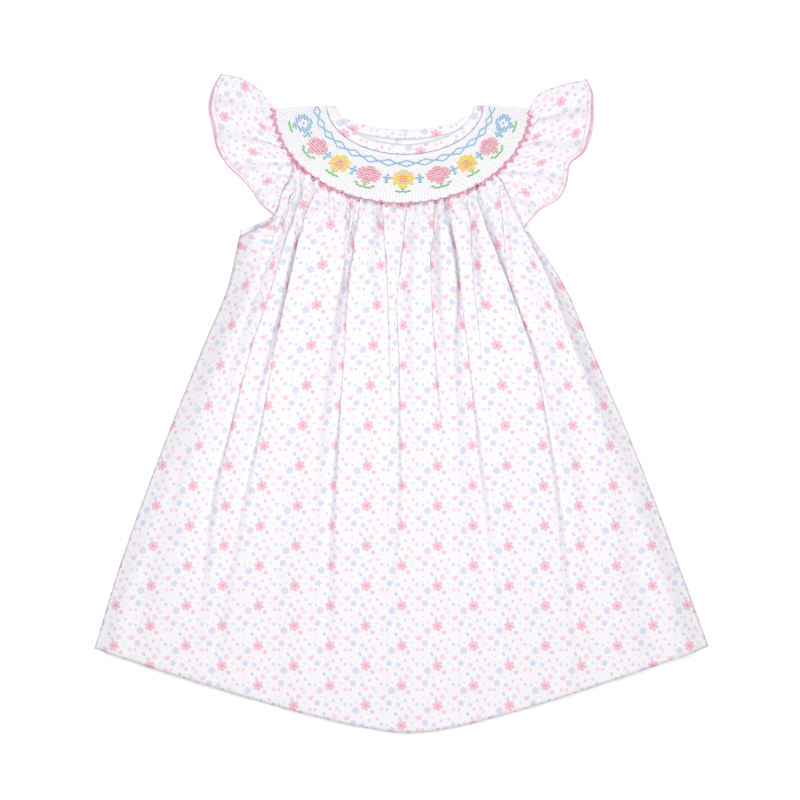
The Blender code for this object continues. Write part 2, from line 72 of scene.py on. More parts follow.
# y, left x, right x
SIDES = ((108.0, -156.5, 147.0), (57.0, -177.5, 169.0), (-46.0, -218.5, 213.0), (-150.0, -256.0, 252.5))
# y, z
CRESTS = (
    (200.0, 8.6), (165.0, 11.2), (120.0, 12.0), (30.0, 11.2), (-80.0, 9.4), (-190.0, 7.2), (-300.0, 4.9),
)
HOLLOW_Y = (196.0, 131.0, 41.0, -67.0, -175.0, -270.0)
# name, x at each level, depth share at each level, width to the left and right
HOLLOWS = (
    ("armhole_left", (-112, -133, -170, -202, -222, -240), (0.0, 0.30, 0.25, 0.2, 0.1, 0.0), 16, 12),
    ("hollow_right", (104, 122, 142, 165, 172, 180), (0.0, 0.15, 0.20, 0.30, 0.40, 0.3), 16, 22),
    ("corner_right", (108, 130, 170, 200, 218, 236), (0.0, 0.0, 0.0, 0.25, 0.40, 0.3), 20, 24),
    ("corner_left", (-120, -140, -180, -210, -236, -250), (0.0, 0.0, 0.0, 0.25, 0.40, 0.3), 20, 18),
    ("hollow_left", (-60, -72, -90, -104, -118, -122), (0.0, 0.0, 0.15, 0.25, 0.40, 0.3), 22, 22),
    ("hem_middle", (-5, -10, -20, -24, -26, -28), (0.0, 0.0, 0.0, 0.0, 0.20, 0.35), 18, 20),
)
FOLD_Y = (192.0, 162.0, 131.0, 95.0, 50.0, -13.0, -85.0, -175.0, -265.0)
# name, side its soft slope lies on, x of its sharp edge, width and depth share at each level
FOLDS = (
    ("side_left", "left", (-88, -99, -108, -119, -135, -153, -171, -181, -190),
     (3, 7, 13, 14, 14, 16, 18, 20, 18), (0.9, 0.95, 0.9, 0.85, 0.75, 0.6, 0.45, 0.3, 0.1)),
    ("side_left_line", "left", (-95, -107, -120, -129, -145, -163, -181, -195, -204),
     (3, 4, 4, 4, 4, 4, 4, 4, 4), (0.7, 0.6, 0.2, 0, 0, 0, 0, 0, 0)),
    ("inner_left", "left", (-78, -89, -96, -104, -114, -127, -143, -160, -169),
     (3, 3, 4, 4, 5, 9, 14, 18, 16), (0.8, 0.75, 0.75, 0.7, 0.65, 0.5, 0.4, 0.3, 0.1)),
    ("short_left", "left", (-63, -61, -59, -57, -55, -55, -55, -55, -55),
     (3, 3, 3, 3, 3, 3, 3, 3, 3), (0.6, 0.1, 0, 0, 0, 0, 0, 0, 0)),
    ("deep_left", "left", (-37, -40, -44, -48, -51, -58, -64, -67, -71),
     (2, 4, 6, 10, 14, 15, 16, 18, 16), (0.8, 0.8, 0.9, 0.95, 0.95, 0.9, 0.75, 0.5, 0.15)),
    ("deep_left_line", "left", (-46, -47, -49, -52, -55, -60, -64, -69, -73),
     (3, 3, 3, 3, 3, 3, 3, 3, 3), (0.7, 0.7, 0.3, 0, 0, 0, 0, 0, 0)),
    ("middle_left", "left", (-18, -16, -14, -13, -12, -11, -10, -9, -9),
     (2, 7, 17, 13, 13, 13, 13, 13, 13), (0.7, 0.95, 0.75, 0.4, 0.25, 0.1, 0, 0, 0)),
    ("middle", "right", (7, 3, 0, -4, -2, 0, 2, -1, 21),
     (2, 9, 13, 14, 14, 16, 18, 18, 14), (0.8, 0.8, 0.75, 0.7, 0.6, 0.5, 0.45, 0.4, 0.2)),
    ("middle_right", "right", (30, 29, 26, 27, 31, 37, 48, 62, 71),
     (2, 5, 10, 10, 11, 13, 13, 13, 13), (0.8, 0.9, 0.9, 0.75, 0.5, 0.2, 0, 0, 0)),
    ("merging", "left", (38, 45, 51, 54, 59, 65, 72, 83, 96),
     (2, 4, 4, 5, 13, 16, 20, 20, 16), (0.8, 0.9, 0.85, 0.8, 0.7, 0.65, 0.6, 0.45, 0.15)),
    ("inner_right", "right", (59, 62, 63, 67, 72, 78, 83, 89, 94),
     (2, 7, 8, 6, 4, 4, 4, 4, 4), (0.5, 0.8, 0.75, 0.45, 0.15, 0, 0, 0, 0)),
    ("sharp_right", "right", (67, 75, 87, 101, 117, 132, 144, 154, 165),
     (3, 7, 4, 2, 3, 7, 13, 16, 13), (0.8, 0.9, 0.8, 0.65, 0.6, 0.6, 0.5, 0.35, 0.1)),
    ("side_right", "right", (89, 91, 94, 100, 110, 125, 139, 150, 161),
     (3, 7, 6, 4, 4, 4, 4, 4, 4), (0.4, 0.6, 0.5, 0.2, 0, 0, 0, 0, 0)),
)
EDGE_NARROW, EDGE_WIDE, CROWD, OVERHANG = 1.2, 9.0, 3.0, 0.5
GATHERS, GATHER_SHARE, GATHER_RUN = 19, 0.38, 30.0
# soft creases of the skirt: x, y, length, turn in degrees from straight down, depth, width
CREASES = (
    (-205, -205, 70, -24, 0.7, 9), (-150, -225, 55, -20, 0.6, 7), (-100, -190, 80, -10, 0.5, 10),
    (-20, -245, 60, -8, 0.6, 10), (60, -232, 70, 14, 0.6, 9), (120, -160, 90, 16, 0.5, 8),
    (190, -190, 80, 24, 0.9, 9), (226, -175, 60, 26, 0.8, 7), (160, -60, 70, 18, 0.4, 9),
    (-185, -60, 60, -20, 0.4, 8), (-60, 118, 40, -8, 0.6, 5), (80, 120, 46, 14, 0.5, 5),
    (108, 108, 50, 26, 0.6, 8), (-92, 60, 60, -16, 0.5, 7), (30, -120, 80, 6, 0.4, 9),
)

# Sleeves
SLEEVE_HEM = {
    "left": ((-162.0, 298.5), (-168.0, 287.0), (-171.0, 272.0), (-168.0, 250.0), (-164.0, 229.0),
             (-154.0, 214.0), (-146.0, 207.0), (-136.0, 196.0), (-127.0, 182.5), (-114.5, 171.8)),
    "right": ((166.0, 294.0), (170.0, 285.0), (170.5, 268.0), (169.0, 248.0), (163.0, 229.0),
              (151.5, 218.0), (149.0, 203.0), (143.0, 189.0), (124.0, 176.0), (109.8, 160.0)),
}
SLEEVE_TOP = {
    "left": ((-114.8, 267.0), (-127.0, 283.5), (-147.0, 296.0), (-162.0, 298.5)),
    "right": ((115.8, 269.0), (121.5, 278.5), (143.5, 288.5), (166.0, 294.0)),
}
SLEEVE_FRONT_SEAM = {
    "left": ((-100.5, 205.0), (-107.5, 193.0), (-111.0, 178.0)),
    "right": ((90.5, 202.0), (95.5, 190.0), (103.0, 168.0)),
}
SLEEVE_ALONG, SLEEVE_OUT = 110, 34
SLEEVE_WAVES, SLEEVE_RIPPLE = 4.5, 2.3
SLEEVE_Z_SEAM, SLEEVE_Z_HEM = 6.2, 5.0
SLEEVE_BACK_Z_SEAM, SLEEVE_BACK_Z_HEM, SLEEVE_BACK_OUT = 2.6, 0.6, 2.6
# creases of the sleeves: place along the seam, where they end on the way out, depth, width
SLEEVE_CREASES = {
    "left": (
        (0.10, 0.45, 1.6, 0.020), (0.20, 0.60, 1.8, 0.014), (0.27, 0.85, 3.0, 0.018),
        (0.38, 0.75, 3.0, 0.016), (0.47, 0.50, 2.2, 0.014), (0.55, 0.90, 3.4, 0.022),
        (0.66, 0.65, 2.6, 0.018), (0.78, 0.90, 3.0, 0.022), (0.90, 0.70, 2.0, 0.016)),
    "right": (
        (0.08, 0.50, 1.8, 0.016), (0.16, 0.85, 3.0, 0.018), (0.25, 0.50, 1.8, 0.014),
        (0.33, 0.75, 2.9, 0.016), (0.45, 0.70, 2.4, 0.018), (0.58, 0.85, 3.3, 0.022),
        (0.68, 0.85, 2.4, 0.018), (0.80, 0.90, 3.0, 0.022), (0.92, 0.60, 2.0, 0.016)),
}
ARMHOLE = {
    "left": ((-112.0, 173.0), (-128.0, 164.5), (-146.5, 157.5)),
    "right": ((104.8, 164.5), (109.5, 162.0), (115.5, 160.5)),
}
ARMHOLE_BAND_W, ARMHOLE_BAND_T = 4.6, 1.8
BUTTON_R, BUTTON_T, BUTTON_ROUND = 5.0, 1.4, 0.45
BUTTON_Y, OVERLAP = (233.0, 219.0, 205.0), 12.0

# Camera: the photograph's width and its middle as seen from the dress's own middle line, in pixels
PIXEL = 0.9
PHOTO_W, MIDDLE_X, MIDDLE_Y = 800.0, 401.5, 405.5
LENS, SENSOR, CAMERA_RISE = 90.0, 36.0, 6.0

# Lights: name, place and size in metres, power
LAMPS = (("key", (0.0, 0.30, 1.15), 0.35, 7.4), ("fill", (0.0, -0.6, 1.6), 0.6, 11.0))

# Cloth and thread colours
PRINT_GROUND, WHITE = (0.925, 0.912, 0.942), (0.93, 0.93, 0.94)
THREADS = {
    "sky": (0.27, 0.55, 0.78), "rose": (0.93, 0.42, 0.50), "deep_rose": (0.86, 0.27, 0.42),
    "yellow": (0.98, 0.70, 0.06), "orange": (0.92, 0.42, 0.08), "leaf": (0.22, 0.62, 0.20),
    "edge_pink": (0.93, 0.33, 0.50), "soft_pink": (0.95, 0.45, 0.60),
}
CHART_THREADS = {"P": "rose", "R": "deep_rose", "Y": "yellow", "O": "orange", "G": "leaf", "B": "sky"}
ROSE_CHART = (
    "...PPP...",
    ".PPRRRPP.",
    "PPRPPPRPP",
    "PRPPRPPRP",
    "PPRPPPRPP",
    ".PPRRRPP.",
    "...PPP...",
    ".G..G..G.",
    "..GGGGG..",
)
DAISY_CHART = (
    "...YYY...",
    ".YYYYYYY.",
    ".YYOOOYY.",
    "YYYOOOYYY",
    ".YYOOOYY.",
    ".YYYYYYY.",
    "...YYY...",
    "....G....",
    "..GGGGG..",
)
BLUEBELL_CHART = (
    "...BBB...",
    ".BBB.BBB.",
    "BBB...BBB",
    "BB..B..BB",
    "BBB...BBB",
    ".BBB.BBB.",
    "...BBB...",
    "....G....",
    "..GGGGG..",
)
SPRIG_CHART = ("..B..", ".BBB.", "..B..", "..G..")

# Print: name, x and y in the repeat, size, petals, petal depth, stretch, turn, colour
REPEAT_X, REPEAT_Y = 32.4, 36.0
FLOWER_INK, SMALL_INK, EDGE_SOFTNESS = 0.48, 0.39, 2.2
PINK, CORAL, ROSE_RED = (0.88, 0.20, 0.36), (0.93, 0.40, 0.46), (0.80, 0.12, 0.26)
LILAC, BLUE, VIOLET = (0.42, 0.45, 0.80), (0.30, 0.46, 0.80), (0.26, 0.24, 0.62)
GREEN, LIME, TEAL = (0.42, 0.56, 0.26), (0.62, 0.66, 0.28), (0.28, 0.60, 0.68)
PRINT = (
    ("flower", 0.0, 0.0, 2.7, 6, 0.85, 1.0, 0.3, PINK),
    ("flower_eye", 0.0, 0.0, 1.1, 1, 0.0, 1.0, 0.0, ROSE_RED),
    ("dot_by_flower", 5.9, -5.9, 1.6, 5, 0.2, 1.0, 0.0, ROSE_RED),
    ("coral_round", 4.3, 8.1, 2.1, 5, 0.25, 1.0, 0.2, CORAL),
    ("lilac_blossom", -9.0, -4.3, 2.4, 5, 0.45, 1.0, 0.7, LILAC),
    ("blue_blossom", -11.3, -15.6, 1.7, 5, 0.75, 1.0, 0.0, BLUE),
    ("lilac_small", -3.0, -17.4, 1.6, 5, 0.4, 1.0, 0.4, LILAC),
    ("violet_comma", -5.4, 10.8, 1.3, 1, 0.7, 1.8, 0.9, VIOLET),
    ("leaf_up", -3.9, -10.5, 1.6, 1, 0.0, 2.2, 0.6, GREEN),
    ("leaf_side", -8.1, 3.0, 1.7, 1, 0.0, 2.4, 2.2, LIME),
    ("bud", 15.2, 6.8, 1.7, 3, 0.4, 1.2, 0.4, PINK),
    ("pink_dot", 14.4, -3.4, 1.8, 1, 0.0, 1.0, 0.0, CORAL),
    ("blue_dot", 14.0, -16.6, 1.6, 1, 0.0, 1.0, 0.0, BLUE),
    ("small_pink", -13.5, 14.4, 1.2, 1, 0.0, 1.0, 0.0, ROSE_RED),
    ("blue_leaf", -13.0, 0.6, 1.7, 1, 0.0, 1.9, 1.3, BLUE),
    ("small_red", 10.2, -12.2, 1.3, 1, 0.1, 1.3, 0.4, ROSE_RED),
    ("pink_low", 6.8, 15.6, 1.5, 5, 0.3, 1.0, 0.0, CORAL),
    ("pink_far", 0.4, 15.0, 1.5, 1, 0.0, 1.0, 0.0, PINK),
    ("teal_leaf", 10.0, 2.2, 1.6, 1, 0.0, 2.1, 0.5, TEAL),
    ("lilac_leaf", 9.0, 12.6, 1.7, 1, 0.0, 1.9, 2.4, LILAC),
    ("grey_blue", -1.6, 6.4, 1.2, 4, 0.5, 1.0, 0.0, BLUE),
    ("comma_low", 3.4, -13.2, 1.1, 1, 0.7, 1.9, 2.0, VIOLET),
    ("tiny_green", 1.6, -7.8, 0.9, 1, 0.0, 1.6, 0.8, GREEN),
    ("tiny_lime", -6.0, 15.4, 0.9, 1, 0.0, 1.7, 2.6, LIME),
    ("tiny_green_2", 11.4, 8.0, 0.8, 1, 0.0, 1.7, 0.2, GREEN),
    ("tiny_olive", 7.6, -1.2, 0.8, 1, 0.0, 1.8, 1.7, LIME),
    ("tiny_pink", -15.0, -9.4, 1.0, 1, 0.0, 1.0, 0.0, PINK),
    ("tiny_leaf", -12.6, 8.6, 1.0, 1, 0.0, 1.8, 0.9, GREEN),
    ("tiny_coral", -7.6, -10.2, 0.9, 1, 0.0, 1.0, 0.0, CORAL),
)


# Shapes shared by the pieces
def soft_between(knots, values, wanted):
    """Cubic interpolation with the slopes of the neighbours, flat beyond the ends."""
    knots, values = np.array(knots, float), np.array(values, float)
    slopes = np.gradient(values, knots)
    wanted = np.clip(wanted, knots.min(), knots.max())
    at = np.clip(np.searchsorted(knots, wanted) - 1, 0, len(knots) - 2)
    width = knots[at + 1] - knots[at]
    s = (wanted - knots[at]) / width
    rise = values[at + 1] * (3 * s**2 - 2 * s**3) + values[at] * (1 - 3 * s**2 + 2 * s**3)
    return rise + width * (slopes[at] * (s - 2 * s**2 + s**3) + slopes[at + 1] * (s**3 - s**2))


def at_level(levels, values, y):
    """A value given at falling levels of y, softly between them."""
    return soft_between(levels[::-1], values[::-1], y)


def path_run(path):
    """Length along a path, from its start to each of its points."""
    return np.concatenate([[0.0], np.cumsum(np.linalg.norm(np.diff(path, axis=0), axis=1))])


def smooth_path(rows, count):
    """Points evenly along a soft curve through a few rows of x and y."""
    rows = np.array(rows, float)
    steps = path_run(rows)
    fine = np.linspace(0.0, steps[-1], 20 * len(rows))
    line = np.stack([soft_between(steps, rows[:, k], fine) for k in range(2)], axis=1)
    run = path_run(line)
    even = np.linspace(0.0, run[-1], count)
    return np.stack([np.interp(even, run, line[:, k]) for k in range(2)], axis=1)


def ease(value):
    """Smooth step from 0 to 1."""
    value = np.clip(value, 0.0, 1.0)
    return value * value * (3.0 - 2.0 * value)


def half_ellipse(angle, x, y, half_w, depth):
    """Places on the lower half of an ellipse, from its left end round to its right one."""
    a = np.radians(angle)
    return np.stack([x - half_w * np.cos(a), y - depth * np.sin(a)], axis=-1)


def ring_point(angle, grow=0.0, half_w=RING_HALF_W, depth=RING_DEPTH):
    """The outer edge of the smocked ring."""
    return half_ellipse(angle, RING_X, RING_Y, half_w + grow, depth + grow)


def neck_point(angle, grow=0.0, depth=NECK_DEPTH):
    """The edge of the neck."""
    return half_ellipse(angle, NECK_X, NECK_Y, NECK_HALF_W + grow, depth + grow)


def shoulder_drop(turn):
    """How far the ring bends down towards the back at the shoulders."""
    ends = np.minimum(turn, 180.0 - turn) / 180.0
    return SHOULDER_DROP * (1.0 - ease(ends / SHOULDER_RUN))


def coons(top, bottom, left, right):
    """Fill between four edges."""
    u = np.linspace(0.0, 1.0, len(top))[None, :, None]
    v = np.linspace(0.0, 1.0, len(left))[:, None, None]
    across = (1 - v) * top[None] + v * bottom[None]
    down = (1 - u) * left[:, None] + u * right[:, None]
    corners = (1 - v) * ((1 - u) * top[0] + u * top[-1]) + v * ((1 - u) * bottom[0] + u * bottom[-1])
    return across + down - corners


def run_along(grid, axis, start):
    """Length along the rows or columns of a grid, measured from one of them."""
    steps = np.linalg.norm(np.diff(grid, axis=axis), axis=-1)
    run = np.cumsum(np.concatenate([np.zeros_like(np.take(steps, [0], axis)), steps], axis), axis)
    return run - np.take(run, [start], axis)


# Making pieces
def add_piece(bm, name, material, smooth=True):
    """The finished piece, riding on the one body of the dress."""
    mesh = bpy.data.meshes.new(name)
    bm.to_mesh(mesh)
    bm.free()
    for face in mesh.polygons:
        face.use_smooth = smooth
    mesh.materials.append(material)
    piece = bpy.data.objects.new(name, mesh)
    bpy.context.scene.collection.objects.link(piece)
    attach(piece, "root")
    return piece


def lay_grid(grid, flat):
    """A mesh from a grid of places and their places in the flat cloth, both in millimetres."""
    bm = bmesh.new()
    bmesh.ops.create_grid(bm, x_segments=grid.shape[1] - 1, y_segments=grid.shape[0] - 1, size=1.0)
    bm.verts.ensure_lookup_table()
    places = (grid - np.array((0.0, CENTRE_Y, 0.0))).reshape(-1, 3) * MM
    cloth = flat.reshape(-1, 2) * MM
    layer = bm.loops.layers.uv.new("cloth")
    for vert, place in zip(bm.verts, places):
        vert.co = place
    for face in bm.faces:
        for loop in face.loops:
            loop[layer].uv = cloth[loop.vert.index]
    return bm


def cloth_grid(name, grid, flat, material, shell=SHELL, under=True):
    """A sheet of cloth, thickened on its underside or on both sides."""
    bm = lay_grid(grid, flat)
    bm.normal_update()
    if sum(f.normal.z * f.calc_area() for f in bm.faces) < 0:
        bmesh.ops.reverse_faces(bm, faces=bm.faces[:])
    piece = add_piece(bm, name, material)
    thicken = piece.modifiers.new("thickness", "SOLIDIFY")
    thicken.thickness = shell * MM
    thicken.offset = -1.0 if under else 0.0
    return piece


def beside(path, width):
    """A path moved to its right by a width."""
    along = np.gradient(path, axis=0)
    along /= np.linalg.norm(along, axis=1)[:, None]
    return path + width * np.stack([along[:, 1], -along[:, 0]], axis=1)


def band(name, path, outer, thickness, height, material, pucker=0.0):
    """A flat rounded band between its two edges."""
    path = np.array(path, float)
    side = np.array(outer, float) - path
    width = float(np.linalg.norm(side, axis=1).mean())
    run = path_run(path)
    height = np.broadcast_to(height, (len(path),)) + pucker * np.sin(run * 1.15) * np.sin(run * 0.31 + 1.0)
    turns = np.radians(np.linspace(180.0, -180.0, 25))
    across = 0.5 + 0.5 * np.sign(np.cos(turns)) * np.abs(np.cos(turns)) ** 0.55
    up = 0.5 * np.sign(np.sin(turns)) * np.abs(np.sin(turns)) ** 0.75
    rows = []
    for k in range(len(path)):
        flat = path[k] + side[k] * across[:, None]
        rows.append(np.concatenate([flat, (height[k] + up * thickness)[:, None]], axis=1))
    cloth = np.stack(np.broadcast_arrays(run[:, None], (across * width)[None, :]), axis=-1)
    bm = lay_grid(np.stack(rows), cloth)
    bmesh.ops.remove_doubles(bm, verts=bm.verts[:], dist=1e-6)
    ends = [e for e in bm.edges if e.is_boundary]
    bmesh.ops.holes_fill(bm, edges=ends, sides=60)
    bmesh.ops.recalc_face_normals(bm, faces=bm.faces[:])
    return add_piece(bm, name, material)


def stitches(name, rows, thread, sides=6):
    """Short thread stitches; each row has two ends, and the thread's radius."""
    bm = bmesh.new()
    for first, last, radius in rows:
        a, b = Vector(first), Vector(last)
        a.y, b.y = a.y - CENTRE_Y, b.y - CENTRE_Y
        along = b - a
        turn = along.to_track_quat("Z", "Y").to_matrix().to_4x4()
        size = Matrix.Diagonal((radius, radius, along.length / 2.0 + radius * 0.6, 1.0))
        place = Matrix.Scale(MM, 4) @ Matrix.Translation((a + b) / 2.0) @ turn @ size
        bmesh.ops.create_uvsphere(bm, u_segments=sides, v_segments=5, radius=1.0, matrix=place)
    return add_piece(bm, name, thread)


# Materials
def group(name, inputs, outputs):
    """A shader node group with named sockets."""
    tree = bpy.data.node_groups.new(name, "ShaderNodeTree")
    for label, kind, value in inputs:
        socket = tree.interface.new_socket(label, in_out="INPUT", socket_type=kind)
        if value is not None:
            socket.default_value = value
    for label, kind in outputs:
        tree.interface.new_socket(label, in_out="OUTPUT", socket_type=kind)
    return tree, tree.nodes.new("NodeGroupInput"), tree.nodes.new("NodeGroupOutput")


def math_node(tree, operation, first, second=None, third=None, clamp=False):
    node = tree.nodes.new("ShaderNodeMath")
    node.operation = operation
    node.use_clamp = clamp
    for k, value in enumerate((first, second, third)):
        if value is None:
            continue
        if isinstance(value, (int, float)):
            node.inputs[k].default_value = value
        else:
            tree.links.new(value, node.inputs[k])
    return node.outputs[0]


def vector_node(tree, operation, first, second=None):
    """A vector maths node; its second input is a link or a fixed vector."""
    node = tree.nodes.new("ShaderNodeVectorMath")
    node.operation = operation
    tree.links.new(first, node.inputs[0])
    if isinstance(second, tuple):
        node.inputs[1].default_value = second
    elif second is not None:
        tree.links.new(second, node.inputs[1])
    return node


def split(tree, vector):
    """The parts of a vector."""
    node = tree.nodes.new("ShaderNodeSeparateXYZ")
    tree.links.new(vector, node.inputs[0])
    return node.outputs


def new_material(name, roughness):
    """A material with its node tree and its shader."""
    material = bpy.data.materials.new(name)
    material.use_nodes = True
    shader = material.node_tree.nodes["Principled BSDF"]
    shader.inputs["Roughness"].default_value = roughness
    return material, material.node_tree, shader


def make_motif_group():
    """One small motif of the print, repeated as a half drop, laid over a colour."""
    tree, start, end = group(
        "print_motif",
        (("Under", "NodeSocketColor", (1, 1, 1, 1)), ("Place", "NodeSocketVector", None),
         ("Centre", "NodeSocketVector", None), ("Size", "NodeSocketFloat", 1.0),
         ("Petals", "NodeSocketFloat", 1.0), ("Petal Depth", "NodeSocketFloat", 0.0),
         ("Stretch", "NodeSocketVector", (1, 1, 1)), ("Turn", "NodeSocketFloat", 0.0),
         ("Ink", "NodeSocketColor", (1, 0, 0, 1)), ("Strength", "NodeSocketFloat", 1.0)),
        (("Colour", "NodeSocketColor"),),
    )
    link = tree.links.new
    away = vector_node(tree, "SUBTRACT", start.outputs["Place"], start.outputs["Centre"])
    apart = split(tree, away.outputs[0])
    column = math_node(tree, "FLOOR", math_node(tree, "MULTIPLY_ADD", apart[0], 1.0 / REPEAT_X, 0.5))
    odd = math_node(tree, "FLOORED_MODULO", column, 2.0)
    dropped = math_node(tree, "MULTIPLY_ADD", odd, REPEAT_Y / 2.0, apart[1])
    across = math_node(tree, "WRAP", apart[0], REPEAT_X / 2.0, -REPEAT_X / 2.0)
    down = math_node(tree, "WRAP", dropped, REPEAT_Y / 2.0, -REPEAT_Y / 2.0)
    local = tree.nodes.new("ShaderNodeCombineXYZ")
    link(across, local.inputs[0])
    link(down, local.inputs[1])
    turned = tree.nodes.new("ShaderNodeVectorRotate")
    turned.rotation_type = "Z_AXIS"
    link(local.outputs[0], turned.inputs["Vector"])
    link(start.outputs["Turn"], turned.inputs["Angle"])
    shaped = vector_node(tree, "MULTIPLY", turned.outputs[0], start.outputs["Stretch"])
    length = vector_node(tree, "LENGTH", shaped.outputs[0])
    parts = split(tree, shaped.outputs[0])
    angle = math_node(tree, "ARCTAN2", parts[1], parts[0])
    half = math_node(tree, "MULTIPLY", angle, math_node(tree, "MULTIPLY", start.outputs["Petals"], 0.5))
    petal = math_node(tree, "POWER", math_node(tree, "ABSOLUTE", math_node(tree, "COSINE", half)), 0.6)
    edge = math_node(tree, "MULTIPLY_ADD", petal, start.outputs["Petal Depth"], 1.0)
    short = math_node(tree, "MULTIPLY", length.outputs["Value"], -1.0)
    inside = math_node(tree, "MULTIPLY_ADD", edge, start.outputs["Size"], short)
    mask = math_node(tree, "MULTIPLY_ADD", inside, EDGE_SOFTNESS, 0.5, clamp=True)
    share = math_node(tree, "MULTIPLY", mask, start.outputs["Strength"])
    mix = tree.nodes.new("ShaderNodeMix")
    mix.data_type = "RGBA"
    link(share, mix.inputs["Factor"])
    link(start.outputs["Under"], mix.inputs["A"])
    link(start.outputs["Ink"], mix.inputs["B"])
    link(mix.outputs["Result"], end.inputs["Colour"])
    return tree


def make_weave_group():
    """Height of a fine plain weave with uneven yarns."""
    tree, start, end = group(
        "plain_weave",
        (("Place", "NodeSocketVector", None), ("Yarns", "NodeSocketFloat", 2.4)),
        (("Height", "NodeSocketFloat"),),
    )
    apart = split(tree, start.outputs["Place"])
    pace = math_node(tree, "MULTIPLY", start.outputs["Yarns"], 2.0 * math.pi)
    warp = math_node(tree, "SINE", math_node(tree, "MULTIPLY", apart[0], pace))
    weft = math_node(tree, "SINE", math_node(tree, "MULTIPLY", apart[1], pace))
    crossed = math_node(tree, "MULTIPLY", warp, weft)
    noise = tree.nodes.new("ShaderNodeTexNoise")
    noise.inputs["Scale"].default_value = 0.35
    noise.inputs["Detail"].default_value = 3.0
    tree.links.new(start.outputs["Place"], noise.inputs["Vector"])
    fine = math_node(tree, "MULTIPLY", crossed, 0.25)
    slub = math_node(tree, "MULTIPLY_ADD", noise.outputs["Fac"], 2.5, fine)
    tree.links.new(slub, end.inputs["Height"])
    return tree


def cloth_place(tree):
    """Place in the flat cloth, in millimetres."""
    place = tree.nodes.new("ShaderNodeUVMap")
    place.uv_map = "cloth"
    scale = vector_node(tree, "SCALE", place.outputs[0])
    scale.inputs["Scale"].default_value = 1.0 / MM
    return scale.outputs[0]


def cotton(name, ground, weave, motif=None, shift=(0.0, 0.0), pleats=False):
    """Cotton cloth: the ground colour, the print over it or painted shade in the pleats' valleys, and a fine
    weave.
    """
    material, tree, shader = new_material(name, 0.88)
    shader.inputs["Specular IOR Level"].default_value = 0.25
    place = cloth_place(tree)
    moved = vector_node(tree, "ADD", place, (*shift, 0.0))
    colour = None
    if motif is not None:
        for label, x, y, size, petals, depth, stretch, turn, ink in PRINT:
            node = tree.nodes.new("ShaderNodeGroup")
            node.node_tree = motif
            node.label = label
            if colour is None:
                node.inputs["Under"].default_value = (*ground, 1.0)
            else:
                tree.links.new(colour, node.inputs["Under"])
            tree.links.new(moved.outputs[0], node.inputs["Place"])
            node.inputs["Centre"].default_value = (x, y, 0.0)
            node.inputs["Size"].default_value = size
            node.inputs["Petals"].default_value = petals
            node.inputs["Petal Depth"].default_value = depth
            node.inputs["Stretch"].default_value = (1.0, stretch, 1.0)
            node.inputs["Turn"].default_value = turn
            node.inputs["Ink"].default_value = (*ink, 1.0)
            node.inputs["Strength"].default_value = FLOWER_INK if label.startswith("flower") else SMALL_INK
            colour = node.outputs[0]
        tree.links.new(colour, shader.inputs["Base Color"])
    elif pleats:
        # Painted shade: the valleys between the pleats are darkened towards a grey lilac, standing in for
        # the shade that falls in them.
        uv = tree.nodes.new("ShaderNodeUVMap")
        uv.uv_map = "pleat"
        turn = math_node(tree, "MULTIPLY", split(tree, uv.outputs[0])[0], math.pi)
        wave = math_node(tree, "ABSOLUTE", math_node(tree, "COSINE", turn))
        painted_valley_shade = math_node(tree, "MULTIPLY", math_node(tree, "POWER", wave, 8.0), 0.30)
        mix = tree.nodes.new("ShaderNodeMix")
        mix.data_type = "RGBA"
        mix.inputs["A"].default_value = (*ground, 1.0)
        mix.inputs["B"].default_value = (0.50, 0.48, 0.55, 1.0)
        tree.links.new(painted_valley_shade, mix.inputs["Factor"])
        tree.links.new(mix.outputs["Result"], shader.inputs["Base Color"])
    else:
        shader.inputs["Base Color"].default_value = (*ground, 1.0)
    fabric = tree.nodes.new("ShaderNodeGroup")
    fabric.node_tree = weave
    tree.links.new(place, fabric.inputs["Place"])
    bump = tree.nodes.new("ShaderNodeBump")
    bump.inputs["Strength"].default_value = 0.35
    bump.inputs["Distance"].default_value = 0.0004
    tree.links.new(fabric.outputs[0], bump.inputs["Height"])
    tree.links.new(bump.outputs[0], shader.inputs["Normal"])
    return material


def two_tone(name, roughness, tones, stops, scale, detail, distortion):
    """A material whose colour wanders softly between two tones."""
    material, tree, shader = new_material(name, roughness)
    place = tree.nodes.new("ShaderNodeTexCoord")
    noise = tree.nodes.new("ShaderNodeTexNoise")
    noise.inputs["Scale"].default_value = scale
    noise.inputs["Detail"].default_value = detail
    noise.inputs["Distortion"].default_value = distortion
    tree.links.new(place.outputs["Object"], noise.inputs["Vector"])
    ramp = tree.nodes.new("ShaderNodeValToRGB")
    for element, tone, stop in zip(ramp.color_ramp.elements, tones, stops):
        element.position = stop
        element.color = (*tone, 1.0)
    tree.links.new(noise.outputs["Fac"], ramp.inputs[0])
    tree.links.new(ramp.outputs[0], shader.inputs["Base Color"])
    return material


def thread_material(name, colour):
    """Stranded thread with a soft twist and a slight shine."""
    tones = (tuple(c * 0.82 for c in colour), tuple(min(1.0, c * 1.08 + 0.02) for c in colour))
    return two_tone("thread_" + name, 0.55, tones, (0.3, 0.7), 2200.0, 1.0, 0.0)


def pearl_material():
    """Cloudy pearl for the buttons."""
    tones = ((0.78, 0.74, 0.72), (0.95, 0.94, 0.92))
    return two_tone("pearl_button", 0.22, tones, (0.0, 1.0), 180.0, 2.0, 1.5)


# Skirt
def armhole_edge(side):
    """The edge of the skirt under an armhole's band."""
    return tuple((x, y - ARMHOLE_BAND_W - GAP) for x, y in ARMHOLE[side])


